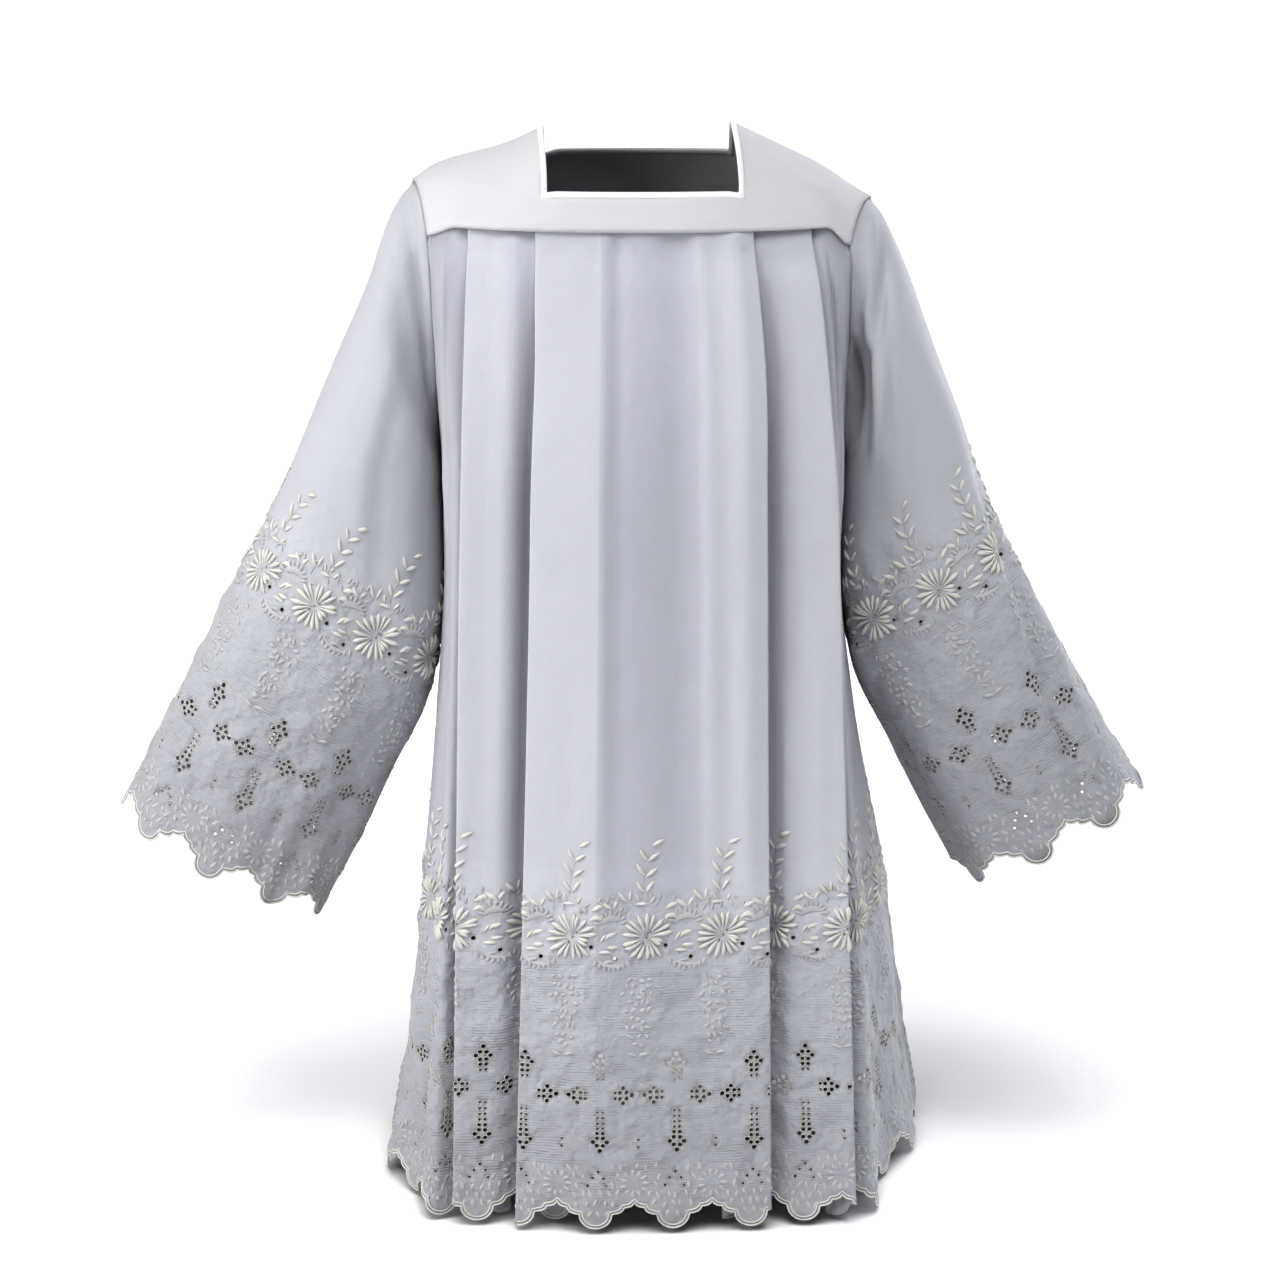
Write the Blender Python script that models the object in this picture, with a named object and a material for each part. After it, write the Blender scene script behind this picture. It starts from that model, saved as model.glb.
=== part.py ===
"""A square-necked surplice, hollow, as it hangs when it is worn with the arms held a little out.

Metres, +Z up. The wearer faces -Y, so the wearer's left is at +X. The origin is midway
between the two places beside the neck where the yoke rests on the shoulders. Each piece that a
maker would cut is one object: its middle surface is a grid of points, and Solidify gives it its
wall. "Out" is a distance from the middle plane of the body: towards -Y on the front and towards
+Y on the back, or from the neck towards a sleeve where a sleeve is described.
"""

import math
from collections import namedtuple

import bpy

# Cloth
CLOTH_WALL = 0.0015
YOKE_WALL = 0.0020
BINDING_WALL = 0.0026
SEAM_GAP = 0.0003
COTTON_WHITE = (0.80, 0.80, 0.84, 1.0)
BINDING_WHITE = (0.90, 0.90, 0.92, 1.0)
COTTON_ROUGHNESS = 0.85

# Yoke
RIDGE_HALF_WIDTH = 0.2078
RIDGE_TOP = 0.003
NECK_SIDE = 0.078
SHOULDER_SLOPE = 0.470
YOKE_TURN = math.radians(65)
YOKE_END_FALLOFF = 2.4
YOKE_REFERENCE_WIDTH = 0.192
END_DROP_START = 0.165
BINDING_WIDTH = 0.005
YokeHalf = namedtuple(
    "YokeHalf", "sign reach end_reach drop neckline corner_right corner_left end_right end_left"
)
YOKE_FRONT = YokeHalf(-1, 0.088, 0.050, 0.083, 0.758, 0.192, 0.186, 0.009, 0.017)
YOKE_BACK = YokeHalf(1, 0.098, 0.055, 0.115, 0.520, 0.192, 0.188, 0.000, 0.000)
NeckSide = namedtuple("NeckSide", "front ridge")  # half widths of the neck opening at these two places
NECK_SIDES = {"right": NeckSide(0.0841, 0.0891), "left": NeckSide(0.0859, 0.0792)}
ACROSS_SHOULDER = 6
ACROSS_NECK = 6
DOWN_BAND = 2
DOWN_SIDE = 5

# Front and back panels. The top row and the second row follow the yoke's lower edge.
TUCKED_UNDER_YOKE = 0.006
CLEAR_OF_YOKE = 0.0032
HEM_LEVEL = -0.985
SCALLOP_REPEAT = 0.072
SCALLOP_DEPTH = 0.024
SCALLOP_PHASE = 0.029
SIDE_STEPS = 10
SIDE_FOLD_DEPTH = 0.012
SIDE_FOLDS = 1.5
CENTRE_STEPS = 6
OUTER_STEPS = 5
RECESS_WIDTH = 0.020
UNDERARM = -0.290

Row = namedtuple("Row", "z right_a right_b left_b left_a centre inner outer seam pitch recess relief")
FRONT_ROWS = (
    Row(None, 0.1550, 0.0945, 0.0990, 0.1507, 0.0836, 0.0769, 0.0609, 0.0440, 0.0026, 0.000, 0.000),
    Row(None, 0.1550, 0.0945, 0.0990, 0.1507, 0.0855, 0.0788, 0.0628, 0.0455, 0.0026, 0.000, 0.000),
    Row(-0.130, 0.1565, 0.0945, 0.1035, 0.1580, 0.108, 0.103, 0.086, 0.052, 0.0040, 0.003, 0.002),
    Row(-0.200, 0.1585, 0.0945, 0.1095, 0.1655, 0.134, 0.129, 0.113, 0.047, 0.0060, 0.008, 0.005),
    Row(-0.250, 0.1600, 0.0965, 0.1110, 0.1700, 0.145, 0.140, 0.125, 0.032, 0.0065, 0.010, 0.007),
    Row(-0.290, 0.1610, 0.0980, 0.1112, 0.1735, 0.150, 0.145, 0.131, 0.000, 0.0070, 0.011, 0.008),
    Row(-0.400, 0.1640, 0.1005, 0.1125, 0.1780, 0.156, 0.150, 0.138, 0.000, 0.0070, 0.011, 0.008),
    Row(-0.550, 0.1672, 0.1045, 0.1140, 0.1835, 0.163, 0.156, 0.145, 0.000, 0.0070, 0.010, 0.008),
    Row(-0.740, 0.1710, 0.1100, 0.1168, 0.1905, 0.173, 0.166, 0.155, 0.000, 0.0070, 0.009, 0.005),
    Row(HEM_LEVEL, 0.1758, 0.1174, 0.1200, 0.1990, 0.188, 0.180, 0.172, 0.000, 0.0060, 0.007, 0.002),
)
BACK_ROWS = (
    Row(None, 0.1500, 0.0920, 0.0920, 0.1500, 0.0936, 0.0872, 0.0705, 0.0490, 0.0026, 0.000, 0.000),
    Row(None, 0.1500, 0.0920, 0.0920, 0.1500, 0.0955, 0.0892, 0.0724, 0.0505, 0.0026, 0.000, 0.000),
    Row(-0.150, 0.1520, 0.0930, 0.0930, 0.1520, 0.110, 0.104, 0.088, 0.054, 0.0040, 0.002, 0.000),
    Row(-0.200, 0.1550, 0.0940, 0.0940, 0.1550, 0.121, 0.115, 0.100, 0.047, 0.0050, 0.005, 0.001),
    Row(-0.250, 0.1580, 0.0960, 0.0960, 0.1580, 0.127, 0.121, 0.108, 0.032, 0.0060, 0.007, 0.002),
    Row(-0.290, 0.1600, 0.0970, 0.0970, 0.1600, 0.130, 0.124, 0.112, 0.000, 0.0065, 0.008, 0.002),
    Row(-0.400, 0.1630, 0.1000, 0.1000, 0.1650, 0.134, 0.128, 0.116, 0.000, 0.0065, 0.008, 0.003),
    Row(-0.550, 0.1680, 0.1040, 0.1040, 0.1720, 0.141, 0.135, 0.123, 0.000, 0.0065, 0.008, 0.004),
    Row(-0.740, 0.1755, 0.1110, 0.1110, 0.1820, 0.157, 0.150, 0.138, 0.000, 0.0065, 0.008, 0.004),
    Row(HEM_LEVEL, 0.1860, 0.1200, 0.1200, 0.1950, 0.186, 0.180, 0.167, 0.000, 0.0060, 0.007, 0.002),
)
SeamRow = namedtuple("SeamRow", "z right left right_back left_back")  # back: how far the seam swings back
SEAM_ROWS = (
    SeamRow(-0.083, 0.1915, 0.1865, 0.000, 0.000),
    SeamRow(-0.130, 0.1895, 0.1868, 0.000, 0.000),
    SeamRow(-0.200, 0.1870, 0.1858, 0.000, 0.000),
    SeamRow(-0.250, 0.1852, 0.1842, 0.000, 0.000),
    SeamRow(-0.290, 0.1840, 0.1830, 0.000, 0.000),
    SeamRow(-0.400, 0.1822, 0.1812, 0.000, 0.004),
    SeamRow(-0.550, 0.1905, 0.1980, 0.000, 0.020),
    SeamRow(-0.740, 0.2065, 0.2330, 0.000, 0.052),
    SeamRow(-0.870, 0.2190, 0.2500, 0.000, 0.074),
    SeamRow(HEM_LEVEL, 0.2400, 0.2700, 0.000, 0.092),
)
Tucks = namedtuple("Tucks", "right_a right_b left_b left_a")  # how far each fold's cloth runs back under it
FRONT_TUCKS = Tucks(0.053, 0.051, 0.0455, 0.028)
BACK_TUCKS = Tucks(0.040, 0.045, 0.045, 0.040)
Relief = namedtuple("Relief", "ridge trough")  # places across the centre panel, from the middle
FRONT_RELIEF = Relief(-0.040, 0.050)
BACK_RELIEF = Relief(0.030, -0.045)
Corners = namedtuple("Corners", "right left")  # how square each side turns at the hem: 1 is a quarter ellipse
FRONT_CORNERS = Corners(1.0, 0.80)
BACK_CORNERS = Corners(1.0, 1.0)
Panel = namedtuple("Panel", "half rows tucks relief corners")
FRONT = Panel(YOKE_FRONT, FRONT_ROWS, FRONT_TUCKS, FRONT_RELIEF, FRONT_CORNERS)
BACK = Panel(YOKE_BACK, BACK_ROWS, BACK_TUCKS, BACK_RELIEF, BACK_CORNERS)

# Sleeves: each row is a ring, from its outermost point to its innermost one
SleeveRow = namedtuple("SleeveRow", "outer_out outer_z inner_out inner_z front back")
RIGHT_SLEEVE_ROWS = (
    SleeveRow(0.2220, -0.084, 0.1915, -0.298, 0.056, 0.056),
    SleeveRow(0.2500, -0.145, 0.1900, -0.309, 0.074, 0.066),
    SleeveRow(0.2800, -0.213, 0.1890, -0.326, 0.079, 0.067),
    SleeveRow(0.3080, -0.278, 0.1880, -0.348, 0.080, 0.066),
    SleeveRow(0.3286, -0.327, 0.1885, -0.405, 0.080, 0.064),
    SleeveRow(0.3550, -0.380, 0.1910, -0.465, 0.080, 0.062),
    SleeveRow(0.3850, -0.435, 0.1990, -0.531, 0.080, 0.060),
    SleeveRow(0.4220, -0.507, 0.2370, -0.610, 0.080, 0.060),
    SleeveRow(0.4515, -0.564, 0.2700, -0.665, 0.080, 0.060),
    SleeveRow(0.4870, -0.636, 0.3160, -0.730, 0.080, 0.058),
)
LEFT_SLEEVE_ROWS = (
    SleeveRow(0.2180, -0.083, 0.1920, -0.298, 0.056, 0.056),
    SleeveRow(0.2380, -0.125, 0.1960, -0.310, 0.074, 0.066),
    SleeveRow(0.2620, -0.190, 0.2010, -0.326, 0.079, 0.067),
    SleeveRow(0.2920, -0.268, 0.1980, -0.350, 0.080, 0.066),
    SleeveRow(0.3120, -0.330, 0.1910, -0.396, 0.080, 0.064),
    SleeveRow(0.3390, -0.392, 0.1915, -0.450, 0.080, 0.062),
    SleeveRow(0.3660, -0.440, 0.1980, -0.508, 0.080, 0.060),
    SleeveRow(0.3960, -0.495, 0.2300, -0.573, 0.080, 0.060),
    SleeveRow(0.4260, -0.548, 0.2600, -0.634, 0.080, 0.060),
    SleeveRow(0.4570, -0.600, 0.2880, -0.686, 0.080, 0.058),
)
AROUND_SLEEVE = 28
INNER_ROUNDNESS = 0.50
OUTER_ROUNDNESS = 0.80
SLEEVE_SCALLOPS = 7
SLEEVE_SCALLOP_HALF_DEPTH = 0.009
ARMHOLE_DOWNS = (0.0, 0.25, 0.5, 0.75, 0.95)
ARMHOLE_LEVELS = (-0.110, -0.140, -0.170, -0.200, -0.225, -0.250, -0.270)
RING_SAMPLES = 180


def mix(low, high, share):
    return low + (high - low) * share


def smooth_step(share):
    share = min(max(share, 0.0), 1.0)
    return share * share * (3.0 - 2.0 * share)


def seam_value(column, z):
    """A column of the side seam's table at this height. Above the underarm it is the armhole's edge."""
    for upper, lower in zip(SEAM_ROWS, SEAM_ROWS[1:]):
        if z >= lower.z:
            share = min((upper.z - z) / (upper.z - lower.z), 1.0)
            return mix(getattr(upper, column), getattr(lower, column), max(share, 0.0))
    return getattr(SEAM_ROWS[-1], column)


# ---- Yoke ----


def yoke_lower_edge(half, x):
    """Height of the yoke's lower edge, which drops a little at its two ends."""
    side_drop = half.end_right if x < 0 else half.end_left
    corner = half.corner_right if x < 0 else half.corner_left
    return -half.drop - side_drop * smooth_step((abs(x) - END_DROP_START) / (corner - END_DROP_START))


def yoke_ridge(x):
    return RIDGE_TOP - SHOULDER_SLOPE * max(abs(x) - NECK_SIDE, 0.0)


def yoke_out(half, x, turn):
    """Out of the yoke where its section has turned this far down from the ridge."""
    taper = (abs(x) / YOKE_REFERENCE_WIDTH) ** YOKE_END_FALLOFF
    reach = half.reach - (half.reach - half.end_reach) * taper
    return reach * math.sin(turn) / math.sin(YOKE_TURN)


def yoke_point(x, down):
    """Point of the yoke's middle surface: down runs from -1, its front edge, to 1, its back edge."""
    half = YOKE_FRONT if down < 0 else YOKE_BACK
    turn = abs(down) * YOKE_TURN
    fall = (1.0 - math.cos(turn)) / (1.0 - math.cos(YOKE_TURN))
    z = mix(yoke_ridge(x), yoke_lower_edge(half, x), fall)
    return (x, half.sign * yoke_out(half, x, turn), z)


def behind_yoke(half, x, z):
    """The furthest out that a panel may lie where it is tucked behind the yoke."""
    ridge = yoke_ridge(x)
    fall = (ridge - z) / (ridge - yoke_lower_edge(half, x))
    turn = math.acos(1.0 - fall * (1.0 - math.cos(YOKE_TURN)))
    return yoke_out(half, x, turn) - CLEAR_OF_YOKE


def yoke_end(side, down):
    """x of the yoke's end, where the sleeve is sewn on."""
    half = YOKE_FRONT if down < 0 else YOKE_BACK
    corner = half.corner_right if side == "right" else half.corner_left
    sign = -1 if side == "right" else 1
    return sign * mix(RIDGE_HALF_WIDTH, corner, abs(down))


def neck_edge(side, down):
    """x of the finished neck opening, inside its binding."""
    place = NECK_SIDES[side]
    sign = -1 if side == "right" else 1
    return sign * mix(place.ridge, place.front, smooth_step(-down / YOKE_FRONT.neckline))


def spread(start, end, steps):
    return [mix(start, end, index / steps) for index in range(steps + 1)]


def yoke_downs():
    front = YOKE_FRONT.neckline
    back = YOKE_BACK.neckline
    downs = spread(-1.0, -front, DOWN_BAND)
    downs += spread(-front, 0.0, DOWN_SIDE)[1:]
    downs += spread(0.0, back, DOWN_SIDE)[1:]
    downs += spread(back, 1.0, DOWN_BAND + 1)[1:]
    return downs


def yoke_grid():
    """The yoke's points, row by row, and its faces, with none in the neck opening."""
    margin = BINDING_WIDTH + 2 * SEAM_GAP
    downs = yoke_downs()
    points = []
    for down in downs:
        right_neck = neck_edge("right", down) - margin
        left_neck = neck_edge("left", down) + margin
        across = spread(yoke_end("right", down), right_neck, ACROSS_SHOULDER)
        across += spread(right_neck, left_neck, ACROSS_NECK)[1:]
        across += spread(left_neck, yoke_end("left", down), ACROSS_SHOULDER)[1:]
        points += [yoke_point(x, down) for x in across]
    columns = 2 * ACROSS_SHOULDER + ACROSS_NECK + 1
    faces = []
    for row, (low, high) in enumerate(zip(downs, downs[1:])):
        beside_neck = low >= -YOKE_FRONT.neckline - 1e-6 and high <= YOKE_BACK.neckline + 1e-6
        for column in range(columns - 1):
            in_neck = ACROSS_SHOULDER <= column < ACROSS_SHOULDER + ACROSS_NECK
            if not (beside_neck and in_neck):
                faces.append(quad(row, column, columns))
    return points, faces


def quad(row, column, columns, wrap=False):
    following = (column + 1) % columns if wrap else column + 1
    upper = row * columns
    lower = upper + columns
    return (upper + column, lower + column, lower + following, upper + following)


def length_per_down(half):
    """How far the yoke's surface runs, on the body's middle line, for a change of 1 in down."""
    lower_edge = yoke_point(0, half.sign)
    neckline = yoke_point(0, half.sign * half.neckline)
    return math.dist(lower_edge, neckline) / (1.0 - half.neckline)


def binding_grid():
    """The strip that binds the neck: a ring of points along the opening, and the same ring further in."""
    front_length = length_per_down(YOKE_FRONT)
    back_length = length_per_down(YOKE_BACK)
    points = []
    loops = (BINDING_WIDTH, 0.0)
    for inset in loops:
        front = -YOKE_FRONT.neckline + (BINDING_WIDTH + SEAM_GAP - inset) / front_length
        back = YOKE_BACK.neckline - (BINDING_WIDTH + SEAM_GAP - inset) / back_length
        ring = [("front", share) for share in spread(0.0, 1.0, ACROSS_NECK)]
        ring += [("left", down) for down in spread(front, 0.0, DOWN_SIDE)[1:]]
        ring += [("left", down) for down in spread(0.0, back, DOWN_SIDE)[1:]]
        ring += [("back", share) for share in spread(1.0, 0.0, ACROSS_NECK)[1:]]
        ring += [("right", down) for down in spread(back, 0.0, DOWN_SIDE)[1:]]
        ring += [("right", down) for down in spread(0.0, front, DOWN_SIDE)[1:-1]]
        for place, value in ring:
            down = {"front": front, "back": back}.get(place, value)
            right = neck_edge("right", down) - inset
            left = neck_edge("left", down) + inset
            x = {"right": right, "left": left}.get(place, mix(right, left, value))
            points.append(yoke_point(x, down))
    count = len(points) // len(loops)
    faces = [quad(row, column, count, wrap=True) for row in range(len(loops) - 1) for column in range(count)]
    return points, faces


# ---- Front and back panels ----


def centre_out(row, relief, x):
    """Out of the centre panel's face, with its soft ridge and trough."""
    edge = row.right_b if x < 0 else row.left_b
    base = mix(row.centre, row.inner, (x / edge) ** 2)
    side = relief.ridge if (x < relief.ridge) == (relief.ridge < 0) else relief.trough
    reach = edge if side == relief.ridge else abs(relief.trough - relief.ridge)
    return base + row.relief * (1.0 - smooth_step(abs(x - relief.ridge) / reach))


def half_path(row, side, panel, z):
    """One half of a level, from the middle to the side seam, as (distance across, out)."""
    sign = -1 if side == "right" else 1
    tucks, relief = panel.tucks, panel.relief
    fold_b = getattr(row, side + "_b")
    fold_a = getattr(row, side + "_a")
    tuck_b = getattr(tucks, side + "_b")
    tuck_a = getattr(tucks, side + "_a")
    pitch = row.pitch
    sunk = 2 * pitch + row.recess

    def face_b(across):
        return centre_out(row, relief, sign * across)

    def face_a(across):
        start = face_b(fold_b) - 2 * pitch
        flat = mix(start, row.outer, (across - fold_b) / (fold_a - fold_b))
        return flat - row.recess * (1.0 - smooth_step((across - fold_b) / RECESS_WIDTH))

    path = [(across, face_b(across)) for across in spread(0.0, fold_b - pitch / 2, CENTRE_STEPS)]
    path += folded(fold_b, tuck_b, pitch, face_b, sunk)
    path += [(across, face_a(across)) for across in spread(fold_b, fold_a - pitch / 2, OUTER_STEPS)[1:]]
    path += folded(fold_a, tuck_a, pitch, face_a, 2 * pitch)
    return path + side_path(path[-1], max(row.seam, 0.6 * SEAM_GAP), side, panel, z)


def side_path(start, seam_gap_out, side, panel, z):
    """The cloth from under a panel's last fold, round the body's side, to the side seam."""
    start_across, start_out = start
    seam_across = seam_value(side, z)
    seam_end = seam_gap_out + panel.half.sign * seam_value(side + "_back", z)
    below_underarm = smooth_step((UNDERARM - z) / (UNDERARM - HEM_LEVEL))
    depth = SIDE_FOLD_DEPTH * below_underarm
    corner = mix(1.0, getattr(panel.corners, side), below_underarm)
    path = []
    for share in spread(0.0, 1.0, SIDE_STEPS)[1:]:
        turn = share * math.pi / 2
        wave = depth * math.sin(math.pi * share) * math.sin(2 * math.pi * SIDE_FOLDS * share)
        reach = math.sin(turn) - (1.0 - corner) * math.sin(2 * turn)
        across = mix(start_across, seam_across, reach) + wave * math.sin(turn)
        out = mix(seam_end, start_out, math.cos(turn)) + wave * math.cos(turn)
        path.append((across, out))
    return path


def folded(edge, tuck, pitch, face, sunk):
    """The cloth that a knife pleat turns under: out round its edge, back under it, round and out again."""
    half = pitch / 2
    middle = edge - tuck / 2
    back = edge - tuck
    return [
        (edge, face(edge) - half),
        (edge - half, face(edge) - pitch),
        (middle, face(middle) - mix(pitch, sunk - pitch, 0.5)),
        (back + half, face(back) - sunk + pitch),
        (back, face(back) - sunk + half),
        (back + half, face(back) - sunk),
        (middle, face(middle) - sunk),
        (edge, face(edge) - sunk),
    ]


def level_path(row, panel, z):
    """A whole level from the right side seam to the left one, as (x, out)."""
    right = [(-across, out) for across, out in half_path(row, "right", panel, z)]
    left = half_path(row, "left", panel, z)
    return right[:0:-1] + left


def lengths_along(path):
    """Distance of each point along the path, from its middle point."""
    runs = [0.0]
    for first, second in zip(path, path[1:]):
        runs.append(runs[-1] + math.dist(first, second))
    middle = next(run for point, run in zip(path, runs) if point[0] >= 0 and abs(point[0]) < 1e-9)
    return [run - middle for run in runs]


def scallop(length):
    """Drop of the hem below its mean level: rounded lobes that meet in cusps."""
    share = abs(math.cos(math.pi * (length - SCALLOP_PHASE) / SCALLOP_REPEAT))
    return SCALLOP_DEPTH * (math.sqrt(share) - 0.5)


def panel_grid(panel):
    rows, half = panel.rows, panel.half
    points = []
    for index, row in enumerate(rows):
        z = row.z if row.z is not None else -half.drop
        path = level_path(row, panel, z)
        drops = [0.0] * len(path)
        if row is rows[-1]:
            drops = [scallop(length) for length in lengths_along(path)]
        for (x, out), drop in zip(path, drops):
            level = z - drop
            if index < 2:
                level = yoke_lower_edge(half, x) + TUCKED_UNDER_YOKE * (1 - index)
                out = min(out, behind_yoke(half, x, level))
            points.append((x, half.sign * out, level))
    columns = len(points) // len(rows)
    faces = [quad(row, column, columns) for row in range(len(rows) - 1) for column in range(columns - 1)]
    return points, faces


# ---- Sleeves ----


def armhole_edge(side, panel, z):
    """Point of a panel's armhole edge at this height."""
    levels = [row for row in panel.rows[2:] if row.z >= UNDERARM]
    levels = [panel.rows[1]._replace(z=-panel.half.drop)] + levels
    for upper, lower in zip(levels, levels[1:]):
        if z >= lower.z:
            out = mix(upper.seam, lower.seam, min(max((upper.z - z) / (upper.z - lower.z), 0.0), 1.0))
            return (seam_value(side, z), panel.half.sign * out, z)
    return (seam_value(side, UNDERARM), 0.0, UNDERARM)


def beside_yoke_end(side, down):
    x, y, z = yoke_point(yoke_end(side, down), down)
    return (abs(x) + 3 * SEAM_GAP, y, z)


def armhole_loop(side):
    """The sleeve's first ring, just outside the armhole: from the ridge, down the front and up the back."""
    clear = CLOTH_WALL + SEAM_GAP
    loop = [beside_yoke_end(side, -down) for down in ARMHOLE_DOWNS]
    for z in ARMHOLE_LEVELS:
        out, y, level = armhole_edge(side, FRONT, z)
        loop.append((out + clear, y - CLOTH_WALL, level))
    loop.append((seam_value(side, UNDERARM) + clear, 0.0, UNDERARM - CLOTH_WALL))
    for z in ARMHOLE_LEVELS[:0:-1]:
        out, y, level = armhole_edge(side, BACK, z)
        loop.append((out + clear, y + CLOTH_WALL, level))
    loop += [beside_yoke_end(side, down) for down in ARMHOLE_DOWNS[:0:-1]]
    return loop


def resampled(loop, count):
    """The same closed loop with evenly spaced points, from its first point on."""
    closed = loop + loop[:1]
    runs = [0.0]
    for first, second in zip(closed, closed[1:]):
        runs.append(runs[-1] + math.dist(first, second))
    result = []
    for index in range(count):
        target = runs[-1] * index / count
        piece = max(place for place, run in enumerate(runs[:-1]) if run <= target)
        share = (target - runs[piece]) / (runs[piece + 1] - runs[piece])
        first, second = closed[piece], closed[piece + 1]
        result.append(tuple(mix(a, b, share) for a, b in zip(first, second)))
    return result


def sleeve_ring(row):
    """One ring of a sleeve: rounder at its outer end, squarer at the fold beside the body."""
    ring = []
    for index in range(RING_SAMPLES):
        turn = 2 * math.pi * index / RING_SAMPLES
        along = math.cos(turn)
        share = 0.5 + 0.5 * along
        roundness = mix(INNER_ROUNDNESS, OUTER_ROUNDNESS, share)
        bulge = abs(math.sin(turn)) ** roundness
        depth = -row.front * bulge if turn <= math.pi else row.back * bulge
        out = mix(row.inner_out, row.outer_out, share)
        ring.append((out, depth, mix(row.inner_z, row.outer_z, share)))
    return ring


def sleeve_grid(side, rows):
    sign = -1 if side == "right" else 1
    rings = [resampled(armhole_loop(side), AROUND_SLEEVE)]
    rings += [resampled(sleeve_ring(row), AROUND_SLEEVE) for row in rows]
    last = rows[-1]
    fall = math.atan2(last.outer_z - last.inner_z, last.outer_out - last.inner_out)
    for index, (out, y, z) in enumerate(rings[-1]):
        drop = SLEEVE_SCALLOP_HALF_DEPTH * math.cos(2 * math.pi * SLEEVE_SCALLOPS * index / AROUND_SLEEVE)
        rings[-1][index] = (out + drop * math.sin(fall), y, z - drop * math.cos(fall))
    points = [(sign * out, y, z) for ring in rings for out, y, z in ring]
    faces = []
    for row in range(len(rings) - 1):
        faces += [quad(row, column, AROUND_SLEEVE, wrap=True) for column in range(AROUND_SLEEVE)]
    return points, faces


# ---- Objects ----


def clear_scene():
    for item in list(bpy.data.objects):
        bpy.data.objects.remove(item, do_unlink=True)


def cloth_material(name, colour):
    material = bpy.data.materials.new(name)
    material.use_nodes = True
    shader = material.node_tree.nodes["Principled BSDF"]
    shader.inputs["Base Color"].default_value = colour
    shader.inputs["Roughness"].default_value = COTTON_ROUGHNESS
    shader.inputs["Metallic"].default_value = 0.0
    return material


def cloth_piece(name, grid, wall, colour):
    """An object whose mesh is the cloth's middle surface, thickened to its wall."""
    points, faces = grid
    mesh = bpy.data.meshes.new(name)
    mesh.from_pydata(points, [], faces)
    mesh.materials.append(cloth_material(name, colour))
    piece = bpy.data.objects.new(name, mesh)
    bpy.context.scene.collection.objects.link(piece)
    thicken = piece.modifiers.new("wall", "SOLIDIFY")
    thicken.thickness = wall
    thicken.offset = 0.0
    return piece


def main():
    clear_scene()
    cloth_piece("yoke", yoke_grid(), YOKE_WALL, COTTON_WHITE)
    cloth_piece("neck_binding", binding_grid(), BINDING_WALL, BINDING_WHITE)
    cloth_piece("front_panel", panel_grid(FRONT), CLOTH_WALL, COTTON_WHITE)
    cloth_piece("back_panel", panel_grid(BACK), CLOTH_WALL, COTTON_WHITE)
    cloth_piece("right_sleeve", sleeve_grid("right", RIGHT_SLEEVE_ROWS), CLOTH_WALL, COTTON_WHITE)
    cloth_piece("left_sleeve", sleeve_grid("left", LEFT_SLEEVE_ROWS), CLOTH_WALL, COTTON_WHITE)


main()
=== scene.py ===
"""The looks of the surplice: thin cloth with its pleats and creases, eyelets and raised embroidery.

Every piece of cloth is a Cloth: a flat cut, whose places are (u, v), and a function that puts them
in space. u runs across the cloth, to the viewer's right when its face is seen, and v is the height
above the level of its hem. The tables are in millimetres and everything else in metres. The wearer
faces -Y, and the wearer's left is at +X. "right" and "left" are the wearer's. "Out" is a distance
from the middle plane of the body.
"""

import math
from collections import namedtuple
from functools import partial

import bpy
import numpy as np
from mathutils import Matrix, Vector
from mathutils.geometry import delaunay_2d_cdt


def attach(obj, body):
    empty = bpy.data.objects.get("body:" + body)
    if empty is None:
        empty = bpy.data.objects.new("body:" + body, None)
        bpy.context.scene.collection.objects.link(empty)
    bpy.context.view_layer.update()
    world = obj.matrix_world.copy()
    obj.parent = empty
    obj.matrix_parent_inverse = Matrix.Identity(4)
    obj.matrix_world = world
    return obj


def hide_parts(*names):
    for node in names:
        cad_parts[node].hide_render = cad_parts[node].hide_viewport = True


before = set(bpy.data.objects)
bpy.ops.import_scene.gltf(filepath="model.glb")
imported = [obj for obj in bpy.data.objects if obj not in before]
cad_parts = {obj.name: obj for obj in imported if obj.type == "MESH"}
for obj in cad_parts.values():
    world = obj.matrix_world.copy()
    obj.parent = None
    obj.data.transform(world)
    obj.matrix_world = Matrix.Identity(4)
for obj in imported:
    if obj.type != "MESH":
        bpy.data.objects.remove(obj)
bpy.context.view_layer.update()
SIGN = {"right": -1, "left": 1}  # of x on the wearer's two sides
CLOSE = 1e-6  # places nearer than this are the same


def table(columns, *rows):
    """Rows in millimetres, turned into metres with their columns named. A turn is left in degrees."""
    scales = [1 if name == "turn" else 1000 for name in columns._fields]
    return tuple(columns(*(round(value / scale, 7) for value, scale in zip(row, scales))) for row in rows)


# Cloth
CLOTH_THICKNESS = 0.0006
YOKE_THICKNESS = 0.0010
SEAM_GAP = 0.0003
SEAM_SHARE = 0.6  # of the gap, which each panel keeps from the middle plane
PROBE = 0.0008

# Yoke, as in the CAD but for the bends of its shoulders
RIDGE_HALF_WIDTH = 0.2078
RIDGE_TOP = 0.003
NECK_SIDE = 0.078
SHOULDER_SLOPE = 0.470
RIGHT_SHOULDER_BULGE = 0.012
RIGHT_SHOULDER_END = 0.004
LEFT_SHOULDER_FALL = 0.008
YOKE_TURN = math.radians(65)
YOKE_END_FALLOFF = 2.4
YOKE_REFERENCE_WIDTH = 0.192
END_DROP_START = 0.165
HALF_COLUMNS = "sign reach end_reach drop neckline corner_right corner_left end_right end_left"
YokeHalf = namedtuple("YokeHalf", HALF_COLUMNS)
YOKE_FRONT = YokeHalf(-1, 0.088, 0.050, 0.083, 0.758, 0.192, 0.186, 0.009, 0.017)
YOKE_BACK = YokeHalf(1, 0.098, 0.055, 0.115, 0.520, 0.192, 0.188, 0.000, 0.000)
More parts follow.
